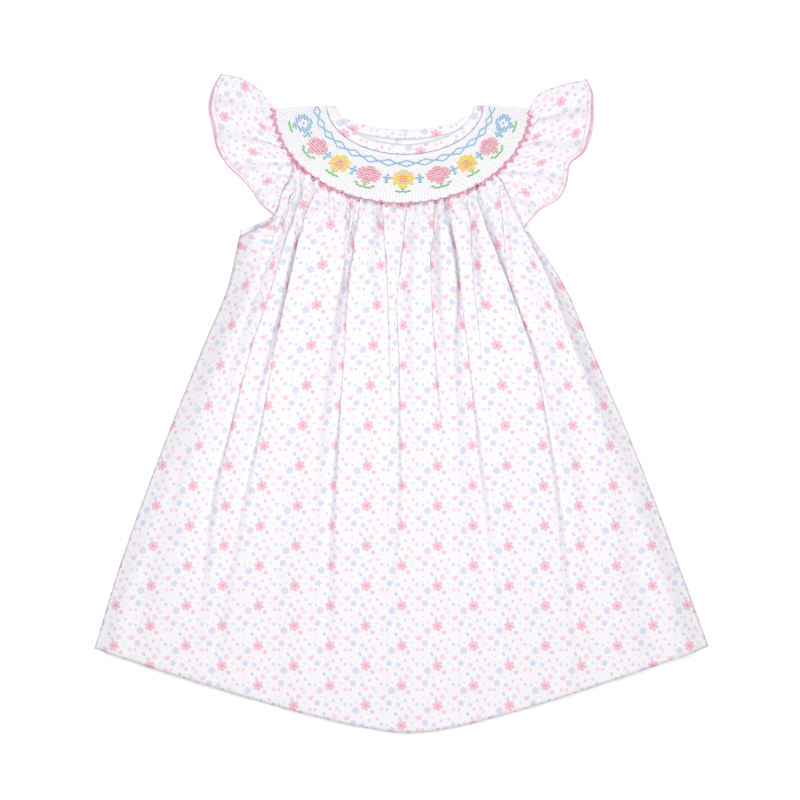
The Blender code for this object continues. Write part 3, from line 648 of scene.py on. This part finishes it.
def raglan(side):
    """The seam of skirt and sleeve, from the sleeve's end up to the ring."""
    angle = RING_ANGLE_LEFT if side == "left" else 180.0 - RING_ANGLE_RIGHT
    shift = GAP * (1.0 if side == "left" else -1.0)
    rows = [(x + shift * 2.5, y) for x, y in reversed(SLEEVE_FRONT_SEAM[side])]
    end = ring_point(angle, GAP)
    return tuple(rows) + ((float(end[0]), float(end[1])),)


def hem_height(x):
    x = np.asarray(x, float)
    reach = np.where(x < HEM_X, HEM_X - SKIRT_HEM["left"][0], SKIRT_HEM["right"][0] - HEM_X)
    away = np.hypot(x - HEM_X, HEM_ROUND) - HEM_ROUND
    share = away / (np.hypot(reach, HEM_ROUND) - HEM_ROUND)
    return HEM_Y + (SKIRT_HEM["left"][1] - HEM_Y) * share ** HEM_POWER


def side_line(side, count):
    column = 1 if side == "left" else 2
    rows = armhole_edge(side)[-1:] + tuple((row[column], row[0]) for row in SIDES) + (SKIRT_HEM[side],)
    return smooth_path(rows, count)


def skirt_edges():
    left_n, middle_n, right_n = (n * DENSE for n in COLUMNS)
    start = smooth_path(tuple(reversed(armhole_edge("left"))) + raglan("left"), left_n + 1)
    middle = ring_point(np.linspace(RING_ANGLE_LEFT, 180.0 - RING_ANGLE_RIGHT, middle_n + 1), GAP)
    end = smooth_path(tuple(reversed(raglan("right"))) + armhole_edge("right"), right_n + 1)
    top = np.concatenate([start[:-1], middle, end[1:]])
    share = np.concatenate([
        np.linspace(0.0, SHARE_LEFT, left_n + 1)[:-1],
        np.linspace(SHARE_LEFT, SHARE_RIGHT, middle_n + 1),
        np.linspace(SHARE_RIGHT, 1.0, right_n + 1)[1:],
    ])
    hem_x = SKIRT_HEM["left"][0] + share * (SKIRT_HEM["right"][0] - SKIRT_HEM["left"][0])
    hem = np.stack([hem_x, hem_height(hem_x)], axis=1)
    return top, hem, side_line("left", ROWS), side_line("right", ROWS)


def edge_width(y):
    """Width of the folds' sharp edges, which soften towards the hem."""
    return EDGE_NARROW + (EDGE_WIDE - EDGE_NARROW) * ease((90.0 - y) / 300.0)


def fold_share(x, y):
    """How far the folds take the cloth down, from 0 to 1: a slope on one side, a sharp edge on the other."""
    stay = np.ones_like(x)
    for _name, at, share, left_w, right_w in HOLLOWS:
        off = x - at_level(HOLLOW_Y, at, y)
        depth = np.clip(at_level(HOLLOW_Y, share, y), 0.0, 0.97)
        reach = np.clip(off / np.where(off < 0, left_w, right_w), -1.0, 1.0)
        stay *= 1.0 - depth * (0.5 + 0.5 * np.cos(np.pi * reach))
    edge = edge_width(y)
    for _name, side, at, width, share in FOLDS:
        sign = -1.0 if side == "left" else 1.0
        off = sign * (x - at_level(FOLD_Y, at, y))
        depth = np.clip(at_level(FOLD_Y, share, y), 0.0, 0.97)
        slope = np.maximum(at_level(FOLD_Y, width, y), 1.5)
        bump = 1.0 - np.clip(np.where(off > 0, off / slope, -off / edge), 0.0, 1.0)
        stay *= 1.0 - depth * (0.6 * bump + 0.4 * ease(bump))
    return 1.0 - stay


def overhang(x, y):
    """How far the sharp edges of the folds lap over the cloth beside them."""
    edge = edge_width(y)
    push = np.zeros_like(x)
    for _name, side, at, _width, share in FOLDS:
        sign = -1.0 if side == "left" else 1.0
        off = sign * (x - at_level(FOLD_Y, at, y))
        depth = np.clip(at_level(FOLD_Y, share, y), 0.0, 1.0)
        near = np.where(off > -edge, np.clip(-off / edge, 0.0, 1.0), np.exp(-(((off + edge) / 5.0) ** 2)))
        push += sign * depth * (edge + OVERHANG) * near * ease((y + 30.0) / 110.0)
    return push


def crowd_columns(flat):
    """Move the columns of the plan closer together at the folds' sharp edges."""
    out = flat.copy()
    even = np.linspace(0.0, 1.0, flat.shape[1])
    fine = np.linspace(0.0, 1.0, 6 * flat.shape[1])
    for row in out:
        x = np.interp(fine, even, row[:, 0])
        y = np.interp(fine, even, row[:, 1])
        close = np.ones_like(x)
        for _name, _side, at, _width, share in FOLDS:
            depth = np.clip(at_level(FOLD_Y, share, y), 0.0, 1.0)
            close += CROWD * depth * np.exp(-(((x - at_level(FOLD_Y, at, y)) / 3.0) ** 2))
        total = np.concatenate([[0.0], np.cumsum((close[1:] + close[:-1]) / 2.0)])
        moved = np.interp(even, total / total[-1], fine)
        row[:] = np.stack([np.interp(moved, fine, x), np.interp(moved, fine, y)], axis=1)
    return out


def off_ring(x, y):
    """How far a place lies outside the ring, as a share of the ring's own size."""
    return np.hypot((x - RING_X) / RING_HALF_W, (y - RING_Y) / RING_DEPTH) - 1.0


def gather_share(x, y):
    """Small gathers just below the ring."""
    angle = np.degrees(np.arctan2(RING_Y - y, (RING_X - x) * RING_DEPTH / RING_HALF_W))
    turn = (angle - RING_ANGLE_LEFT) / (180.0 - RING_ANGLE_RIGHT - RING_ANGLE_LEFT)
    inside = ease((turn + 0.02) / 0.04) * ease((1.02 - turn) / 0.04)
    away = off_ring(x, y) * RING_DEPTH
    uneven = 0.5 + 0.5 * np.sin(turn * 23.0 + 1.3)
    large = (0.5 - 0.5 * np.cos(2 * np.pi * GATHERS * turn)) ** 1.5
    large = large * (1.0 - ease(away / (GATHER_RUN * (0.6 + 0.8 * uneven))))
    small = (0.5 - 0.5 * np.cos(2 * np.pi * GATHERS * 2.3 * turn + 0.6)) * (1.0 - ease(away / 14.0))
    return (1.0 - (1.0 - GATHER_SHARE * large) * (1.0 - 0.35 * uneven * small)) * inside


def skirt_surface():
    """The front of the skirt with its folds, gathers and creases."""
    flat = crowd_columns(coons(*skirt_edges()))
    x, y = flat[..., 0], flat[..., 1]
    ordered = sorted(CRESTS)
    crest = soft_between([r[0] for r in ordered], [r[1] for r in ordered], y)
    down = 1.0 - (1.0 - fold_share(x, y)) * (1.0 - gather_share(x, y))
    from_left = np.linalg.norm(flat - flat[:, :1], axis=-1)
    side = np.minimum(from_left, np.linalg.norm(flat - flat[:, -1:], axis=-1))
    rise = (crest - LOWEST) * (1.0 + (DEEPER - 1.0) * ease((200.0 - y) / 40.0))
    high = LOWEST + rise * (1.0 - down) * ease(side / 22.0)
    for cx, cy, length, turn, depth, width in CREASES:
        a = math.radians(turn)
        along = (x - cx) * math.sin(a) - (y - cy) * math.cos(a)
        off = (x - cx) * math.cos(a) + (y - cy) * math.sin(a)
        high -= depth * np.exp(-((off / width) ** 2) - ((along / length * 1.6) ** 2)) * ease(side / 22.0)
    high += 0.16 * np.sin(x * 0.21 + y * 0.05) * np.sin(y * 0.11 - x * 0.03) * ease(side / 12.0)
    above_hem = y - hem_height(x)
    high -= 1.0 * (1.0 - ease(above_hem / 2.5)) + 0.9 * (1.0 - ease(side / 3.0))
    moved = x + overhang(x, y) * ease(side / 12.0) * ease(off_ring(x, y) * 20.0)
    return np.stack([moved, y, np.maximum(high, 2.3)], axis=-1)


def make_skirt_front(printed):
    grid = skirt_surface()
    middle = int(np.argmin(np.abs(grid[0, :, 0])))
    plain = run_along(grid[..., :1], 1, middle)
    extra = (run_along(grid[..., (0, 2)], 1, middle) - plain) * 0.55
    for _turn in range(24):
        extra[1:-1] = (extra[:-2] + 2.0 * extra[1:-1] + extra[2:]) / 4.0
    flat = np.stack([plain + extra + grid[:, middle:middle + 1, 0], grid[..., 1]], axis=-1)
    piece = cloth_grid("skirt_front_cloth", grid[::-1], flat[::-1], printed)
    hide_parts("skirt_front")


def make_skirt_back(printed):
    """The flat back panel with its slit, its underside on the table."""
    left = side_line("left", 12) + np.array((BACK_INSET, 0.0))
    right = side_line("right", 12) - np.array((BACK_INSET, 0.0))
    hem_x = np.linspace(left[-1][0], right[-1][0], 60)
    hem = np.stack([hem_x, hem_height(hem_x) + BACK_INSET], axis=1)
    arc = dict(grow=-3.0, half_w=BACK_RING_HALF_W, depth=BACK_RING_DEPTH)
    ring_r = ring_point(np.linspace(180.0 - RING_ANGLE_RIGHT, 91.0, 24), **arc)
    ring_l = ring_point(np.linspace(89.0, RING_ANGLE_LEFT, 24), **arc)
    seam_r = [(x, y - 1.5) for x, y in reversed(armhole_edge("right")[:-1])]
    seam_r += [(x - 2.4, y) for x, y in reversed(SLEEVE_FRONT_SEAM["right"])]
    seam_l = [(x + 2.4, y) for x, y in SLEEVE_FRONT_SEAM["left"]]
    seam_l += [(x, y - 1.5) for x, y in armhole_edge("left")[:-1]]
    foot = ring_r[-1][1] - SLIT_LENGTH
    slit = [(RING_X + SLIT_W / 2, ring_r[-1][1]), (RING_X + SLIT_W / 2, foot),
            (RING_X - SLIT_W / 2, foot), (RING_X - SLIT_W / 2, ring_l[0][1])]
    outline = list(hem) + list(reversed(right[:-1])) + seam_r + list(ring_r[:-1]) + slit
    outline += list(ring_l[1:]) + seam_l + list(left[:-1])
    bm = bmesh.new()
    verts = [bm.verts.new((x * MM, (y - CENTRE_Y) * MM, 0.0)) for x, y in outline]
    edges = [bm.edges.new((a, b)) for a, b in zip(verts, verts[1:] + verts[:1])]
    bmesh.ops.triangle_fill(bm, use_beauty=True, edges=edges)
    made = bmesh.ops.extrude_face_region(bm, geom=bm.faces[:])
    top = [g for g in made["geom"] if isinstance(g, bmesh.types.BMVert)]
    bmesh.ops.translate(bm, verts=top, vec=(0.0, 0.0, 1.2 * MM))
    bmesh.ops.recalc_face_normals(bm, faces=bm.faces[:])
    layer = bm.loops.layers.uv.new("cloth")
    for face in bm.faces:
        for loop in face.loops:
            loop[layer].uv = (-loop.vert.co.x + 0.011, loop.vert.co.y + 0.007)
    piece = add_piece(bm, "skirt_back_cloth", printed, smooth=False)
    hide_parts("skirt_back")


# Yoke
def yoke_surface(pleat, share):
    """A place on the pleated ring from a pleat number and a share of the way out from the neck."""
    pleat, share = np.broadcast_arrays(np.asarray(pleat, float), np.asarray(share, float))
    sway = 0.10 * np.sin(share * 40.0 + pleat * np.pi) * ease(share / 0.2)
    turn = np.clip((pleat + sway) / PLEAT_COUNT, 0.0, 1.0) * 180.0
    inner = neck_point(turn, BINDING_W + GAP)
    outer = ring_point(turn)
    flat = inner + (outer - inner) * share[..., None]
    ridge = np.abs(np.sin(np.pi * pleat)) ** 0.7
    pull = 1.0 - 0.25 * np.exp(-(((share - 0.3) / 0.03) ** 2))
    pull = pull - 0.3 * np.exp(-(((share - 0.93) / 0.04) ** 2))
    rise = PLEAT_RISE * (0.3 + 0.7 * ease((share - 0.06) / 0.12)) * pull
    high = RING_UNDER_Z + RING_WALL - shoulder_drop(turn) + rise * ridge
    high = high + 0.9 * np.sin(np.pi * np.clip(share, 0, 1)) ** 0.7 - 0.25
    return np.concatenate([flat, high[..., None]], axis=-1)


def make_yoke_front(white):
    """The front half of the ring; its second map counts the pleats for the shade painted into their valleys.
    """
    per_pleat = 8
    cols = PLEAT_COUNT * per_pleat + 1
    pleat = np.linspace(0.0, PLEAT_COUNT, cols)[None, :]
    share = np.linspace(0.0, 1.0, 40)[:, None]
    grid = yoke_surface(pleat, share)
    flat = np.stack([run_along(grid, 1, cols // 2), run_along(grid, 0, 0)], axis=-1)
    piece = cloth_grid("yoke_front_cloth", grid, flat, white, shell=0.8)
    layer = piece.data.uv_layers.new(name="pleat")
    across = np.broadcast_to(pleat, grid.shape[:2]).reshape(-1)
    which = np.zeros(len(piece.data.loops), np.int32)
    piece.data.loops.foreach_get("vertex_index", which)
    values = np.stack([across[which], np.zeros(len(which))], axis=1)
    layer.data.foreach_set("uv", values.reshape(-1))
    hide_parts("yoke_front")


def make_yoke_back(side, white):
    """One half of the ring behind, up to the lap at the centre back."""
    left = side == "left"
    lap = OVERLAP / 2.0
    turn = np.linspace(0.0, 90.0, 60) if left else np.linspace(90.0, 180.0, 60)
    inner = neck_point(turn, BINDING_W + GAP, BACK_NECK_DEPTH)
    outer = ring_point(turn, 0.0, BACK_RING_HALF_W, BACK_RING_DEPTH)
    at = slice(-1, None) if left else slice(0, 1)
    inner[at, 0] = outer[at, 0] = RING_X + (lap if left else -lap)
    share = np.linspace(0.0, 1.0, 16)[:, None, None]
    flat = inner[None] * (1 - share) + outer[None] * share
    near = ease((lap + 10.0 - np.abs(flat[..., 0] - RING_X)) / 8.0)
    ripple = 0.12 * np.sin(turn * 3.6)[None, :] * np.ones_like(near)
    high = CLOTH + GAP + 1.2 + (0.0 if left else CLOTH + GAP) * near + ripple
    grid = np.concatenate([flat, high[..., None]], axis=-1)
    cloth = np.stack([run_along(grid, 1, 0), run_along(grid, 0, 0)], axis=-1)
    piece = cloth_grid(f"yoke_back_{side}_cloth", grid, cloth, white, shell=1.0)
    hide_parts(f"yoke_back_{side}")


def make_bindings(printed):
    """Bias binding round the neck: a front piece and two behind."""
    turn = np.linspace(1.0, 179.0, 181)
    middle = RING_UNDER_Z + BINDING_T / 2.0 - shoulder_drop(turn)
    outer = neck_point(turn, BINDING_W)
    piece = band("neck_binding_front_cloth", neck_point(turn), outer, BINDING_T, middle, printed, 0.15)
    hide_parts("neck_binding_front")
    low = CLOTH + GAP + BINDING_T / 2.0
    half = GAP / NECK_HALF_W * 57.3 / 2.0
    for side, first, last in (("left", 3.0, 90.0 - half), ("right", 90.0 + half, 177.0)):
        turn = np.linspace(first, last, 81)
        path = neck_point(turn, 0.0, BACK_NECK_DEPTH)
        outer = neck_point(turn, BINDING_W, BACK_NECK_DEPTH)
        outer[np.argmin(np.abs(turn - 90.0)), 0] = path[np.argmin(np.abs(turn - 90.0)), 0]
        name = f"neck_binding_back_{side}_cloth"
        piece = band(name, path, outer, BINDING_T - 0.4, low - 0.2, printed, 0.1)
        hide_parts(f"neck_binding_back_{side}")


def make_armhole_bands(printed):
    """The short stretches of armhole band that show under the sleeves."""
    for side in ("left", "right"):
        path = smooth_path(ARMHOLE[side], 36)[3:]
        if side == "left":
            path = path[::-1]
        outer = beside(path, ARMHOLE_BAND_W)
        piece = band(f"armhole_band_front_{side}_cloth", path, outer, ARMHOLE_BAND_T, 3.4, printed)
        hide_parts(f"armhole_band_front_{side}")


# Sleeves
def sleeve_plan(side, back=False):
    """Seam, ruffle edge, top fold and lower end of a sleeve's front or back layer."""
    sign = 1.0 if side == "left" else -1.0
    limit = RING_ANGLE_LEFT if side == "left" else RING_ANGLE_RIGHT
    turns = np.linspace(1.0, limit - 1.5, 16)
    turns = turns if side == "left" else 180.0 - turns
    rows = [tuple(p) for p in ring_point(turns, 2.0 * GAP)] + list(SLEEVE_FRONT_SEAM[side])
    seam = smooth_path(rows, SLEEVE_ALONG + 1)
    hem = smooth_path(SLEEVE_HEM[side], SLEEVE_ALONG + 1)
    fold = smooth_path(SLEEVE_TOP[side], SLEEVE_OUT + 1)
    fold[0] = seam[0]
    if back:
        share = np.linspace(0.0, 1.0, SLEEVE_ALONG + 1)
        push = SLEEVE_BACK_OUT * np.where(share < 0.55, np.sin(np.pi * share / 0.55), 0.0)
        hem = hem - np.stack([sign * push, 0.0 * push], axis=1)
    return seam, hem, fold, np.linspace(seam[-1], hem[-1], SLEEVE_OUT + 1)


def sleeve_surface(side):
    """Front layer, top fold and back layer of a sleeve, with its ruffles and creases."""
    sign = 1.0 if side == "left" else -1.0
    seam, hem, fold, end = sleeve_plan(side)
    along = fold[-1] - fold[0]
    out = np.array((along[1], -along[0])) * sign
    out /= np.linalg.norm(out)
    t = np.linspace(0.0, 1.0, SLEEVE_OUT + 1)[:, None]
    s = np.linspace(0.0, 1.0, SLEEVE_ALONG + 1)[None, :]
    ends = ease(s / 0.12) * ease((1.04 - s) / 0.12)
    high = SLEEVE_Z_SEAM + (SLEEVE_Z_HEM - SLEEVE_Z_SEAM) * t
    high = high + SLEEVE_RIPPLE * t**0.8 * np.sin(2 * np.pi * SLEEVE_WAVES * s**0.85) * ends
    high = high + 0.8 * np.sin(np.pi * t) ** 0.5 * ends
    for place, reach, depth, width in SLEEVE_CREASES[side]:
        fan = width * (1.0 + 2.0 * t)
        fade = 1.0 - ease((t - reach * 0.4) / (reach * 0.7))
        high = high - depth * np.exp(-(((s - place) / fan) ** 2)) * fade * ends
    low = SLEEVE_BACK_Z_SEAM + (SLEEVE_BACK_Z_HEM - SLEEVE_BACK_Z_SEAM) * ease(t * 1.6) + 0.0 * s
    high = np.maximum(high, low + 1.6)
    radius = (high[:, 0] - low[:, 0]) / 2.0
    inset = fold - out * radius[:, None]
    back_in = (1 - s.T) ** 4
    hem_in = (inset - fold)[-1] * back_in
    front = coons(seam + (inset[0] - seam[0]) * back_in, hem + hem_in, inset, end)
    seam_b, hem_b, _fold, end_b = sleeve_plan(side, back=True)
    behind = coons(seam_b + (inset[0] - seam_b[0]) * back_in, hem_b + hem_in, inset, end_b)
    upper = np.concatenate([front, high[..., None]], axis=-1)[:, ::-1]
    lower = np.concatenate([behind, low[..., None]], axis=-1)
    arc = []
    for angle in range(18, 180, 18):
        a = math.radians(angle)
        flat = inset + out * (radius * math.sin(a))[:, None]
        bend = (low[:, 0] + radius * (1.0 + math.cos(a)))[:, None]
        arc.append(np.concatenate([flat, bend], axis=1)[:, None])
    return np.concatenate([upper] + arc + [lower], axis=1)


def make_sleeve(side, printed, edge_thread):
    """A sleeve and its edging: looped stitches on the edge and a plain line inside it."""
    grid = sleeve_surface(side)
    along = run_along(grid, 1, 0)
    mean = np.broadcast_to(along[len(along) * 2 // 3][None], along.shape)
    flat = np.stack([mean, -run_along(grid, 0, 0)], axis=-1)
    name = f"sleeve_{side}_cloth"
    piece = cloth_grid(name, grid, flat, printed, shell=0.5, under=False)
    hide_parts(f"sleeve_{side}")
    edge = grid[-1]
    run = path_run(edge)
    outward = edge - grid[-2]
    outward /= np.linalg.norm(outward, axis=1)[:, None]
    rows = []
    for k, d in enumerate(np.arange(0.6, run[-1] - 0.4, 1.15)):
        p = np.array([np.interp(d, run, edge[:, j]) for j in range(3)])
        n = np.array([np.interp(d, run, outward[:, j]) for j in range(3)])
        q = np.array([np.interp(d + 0.9, run, edge[:, j]) for j in range(3)])
        loop = 0.5 if k % 2 else 0.0
        rows.append((p - n * 0.6, q + n * (0.25 + loop), 0.42))
    line = grid[-3, 1:SLEEVE_ALONG] + np.array((0.0, 0.0, 0.2))
    rows += [(tuple(a), tuple(b), 0.3) for a, b in zip(line[:-1], line[1:])]
    trim = stitches(f"sleeve_{side}_edging", rows, edge_thread)


# Embroidery
def on_yoke(pleat, share, lift=0.35):
    """A place on top of the pleats, for thread."""
    place = np.array(yoke_surface(pleat, share), float)
    top = yoke_surface(np.floor(np.asarray(pleat)) + 0.5, share)[..., 2]
    place[..., 2] = top + lift
    return place


def wave_row(share, height, period, radius, step=1.0, start=1.0, stop=117.0):
    """Stitches of a wave: from pleat to pleat, up and down."""
    pleats = np.arange(start, stop + 0.01, step)
    swing = 2.0 * np.abs((pleats / period) % 1.0 - 0.5) * 2.0 - 1.0
    places = on_yoke(pleats, share + height * swing)
    return [(tuple(a), tuple(b), radius) for a, b in zip(places[:-1], places[1:])]


def chart_rows(chart, middle, share, pitch):
    """Stitches of a small chart, by thread."""
    rows = {}
    wide = len(chart[0])
    for r, line in enumerate(chart):
        for c, mark in enumerate(line):
            if mark == ".":
                continue
            pleat = middle + c - (wide - 1) / 2.0
            a = on_yoke(pleat - 0.52, share + (r + (0.22 if c % 2 else 0.0)) * pitch, 0.25)
            b = on_yoke(pleat + 0.52, share + (r + (0.22 if c % 2 else 0.0)) * pitch, 0.25)
            rows.setdefault(CHART_THREADS[mark], []).append((tuple(a), tuple(b), 0.84))
    return rows


def make_embroidery(threads):
    """Plain waves, small flowers and diamonds: a traditional smocking design of its own."""
    rows = {name: [] for name in threads}
    rows["sky"] += wave_row(0.16, 0.035, 8.0, 0.6)
    rows["sky"] += wave_row(0.22, -0.035, 8.0, 0.6)
    spots = np.linspace(9.0, PLEAT_COUNT - 9.0, 9)
    charts = (BLUEBELL_CHART,) + (ROSE_CHART, DAISY_CHART) * 3 + (ROSE_CHART, BLUEBELL_CHART)
    for chart, middle in zip(charts, spots):
        for name, more in chart_rows(chart, round(middle), 0.34, 0.052).items():
            rows[name] += more
    for middle in (spots[:-1] + spots[1:]) / 2.0:
        for name, more in chart_rows(SPRIG_CHART, round(middle), 0.44, 0.05).items():
            rows[name] += more
    for name, line in rows.items():
        if line:
            stitches("embroidery_" + name, line, threads[name])


def make_yoke_edge(thread):
    """The pink zigzag where the ring meets the skirt and sleeves."""
    pleats = np.arange(0.6, PLEAT_COUNT - 0.5, 1.0)
    number = np.arange(len(pleats))
    swing = np.where(number % 3 == 0, 2.4, np.where(number % 3 == 1, -1.4, 0.4))
    swing = swing * (1.0 + 0.35 * np.sin(number * 2.7)) + 0.4 * np.sin(number * 0.9 + 1.0)
    turn = pleats / PLEAT_COUNT * 180.0
    flat = ring_point(turn, 0.6)
    out = flat - ring_point(turn, -1.0)
    out /= np.linalg.norm(out, axis=1)[:, None]
    flat = flat + out * swing[:, None]
    high = RING_UNDER_Z + RING_WALL + PLEAT_RISE + 0.7 - shoulder_drop(turn) + 0.8 * (swing > 1)
    places = np.concatenate([flat, high[:, None]], axis=1)
    rows = [(tuple(a), tuple(b), 0.85) for a, b in zip(places[:-1], places[1:])]
    half = np.array((0.5, 0.0, 0.0))
    knots = [(tuple(p - half), tuple(p + half), 1.3) for p, s in zip(places, swing) if s > 1]
    stitches("yoke_edge_stitches", rows + knots, thread)


def make_buttons(pearl):
    """Flat round buttons under the centre back."""
    radius, thickness = BUTTON_R * MM, BUTTON_T * MM
    for number, y in enumerate(BUTTON_Y, start=1):
        place = (RING_X * MM, (y - CENTRE_Y) * MM, thickness / 2.0)
        bm = bmesh.new()
        bmesh.ops.create_cone(bm, cap_ends=True, segments=48, radius1=radius, radius2=radius,
                              depth=thickness)
        rims = [e for e in bm.edges if e.calc_face_angle(0.0) > 1.0]
        bmesh.ops.bevel(bm, geom=rims, offset=BUTTON_ROUND * MM, affect="EDGES", segments=4,
                        profile=0.5, material=-1)
        bmesh.ops.translate(bm, verts=bm.verts[:], vec=place)
        piece = add_piece(bm, f"button_{number}_shown", pearl)
        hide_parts(f"button_{number}")


# Stage
def make_stage():
    """Pale floor, soft studio light and two lamps."""
    bm = bmesh.new()
    bmesh.ops.create_grid(bm, x_segments=1, y_segments=1, size=4.0)
    mesh = bpy.data.meshes.new("floor")
    bm.to_mesh(mesh)
    bm.free()
    floor = bpy.data.objects.new("floor", mesh)
    floor.location = (0.0, 0.0, -0.0002)
    bpy.context.scene.collection.objects.link(floor)
    material, _tree, shader = new_material("pale_floor", 0.9)
    shader.inputs["Base Color"].default_value = (0.97, 0.97, 0.97, 1.0)
    shader.inputs["Emission Color"].default_value = (1.0, 1.0, 1.0, 1.0)
    shader.inputs["Emission Strength"].default_value = 0.2
    mesh.materials.append(material)
    world = bpy.data.worlds.new("studio")
    world.use_nodes = True
    world.node_tree.nodes["Background"].inputs["Color"].default_value = (0.98, 0.95, 1.0, 1.0)
    world.node_tree.nodes["Background"].inputs["Strength"].default_value = 0.27
    bpy.context.scene.world = world
    for name, place, size, power in LAMPS:
        data = bpy.data.lights.new(name, "AREA")
        data.shape = "SQUARE"
        data.size = size
        data.energy = power
        lamp = bpy.data.objects.new(name, data)
        lamp.location = place
        lamp.rotation_mode = "QUATERNION"
        lamp.rotation_quaternion = (Vector((0, 0, 0)) - Vector(place)).to_track_quat("-Z", "Y")
        bpy.context.scene.collection.objects.link(lamp)


def make_camera():
    """Straight above the middle of the photograph, high enough to take in its whole width."""
    data = bpy.data.cameras.new("camera")
    data.lens = LENS
    data.sensor_width = SENSOR
    camera = bpy.data.objects.new("camera", data)
    x = (PHOTO_W / 2.0 - MIDDLE_X) * PIXEL
    y = (MIDDLE_Y - PHOTO_W / 2.0) * PIXEL - CENTRE_Y
    height = PHOTO_W * PIXEL * LENS / SENSOR + CAMERA_RISE
    camera.location = (x * MM, y * MM, height * MM)
    bpy.context.scene.collection.objects.link(camera)
    bpy.context.scene.camera = camera
    bpy.context.scene.view_settings.view_transform = "Standard"


# The dress
motif = make_motif_group()
weave = make_weave_group()
printed = cotton("printed_cotton_cloth", PRINT_GROUND, weave, motif)
printed_band = cotton("printed_cotton_bias", PRINT_GROUND, weave, motif, shift=(7.0, 11.0))
# White cotton with painted shade in the valleys between its pleats.
white = cotton("white_cotton_painted_pleat_shade", WHITE, weave, pleats=True)
plain_white = cotton("white_cotton_back", WHITE, weave)
threads = {name: thread_material(name, colour) for name, colour in THREADS.items()}
pearl = pearl_material()

make_skirt_front(printed)
make_skirt_back(printed)
make_yoke_front(white)
make_yoke_back("left", plain_white)
make_yoke_back("right", plain_white)
make_bindings(printed_band)
make_armhole_bands(printed_band)
make_sleeve("left", printed, threads["soft_pink"])
make_sleeve("right", printed, threads["soft_pink"])
make_embroidery(threads)
make_yoke_edge(threads["edge_pink"])
make_buttons(pearl)
make_stage()
make_camera()
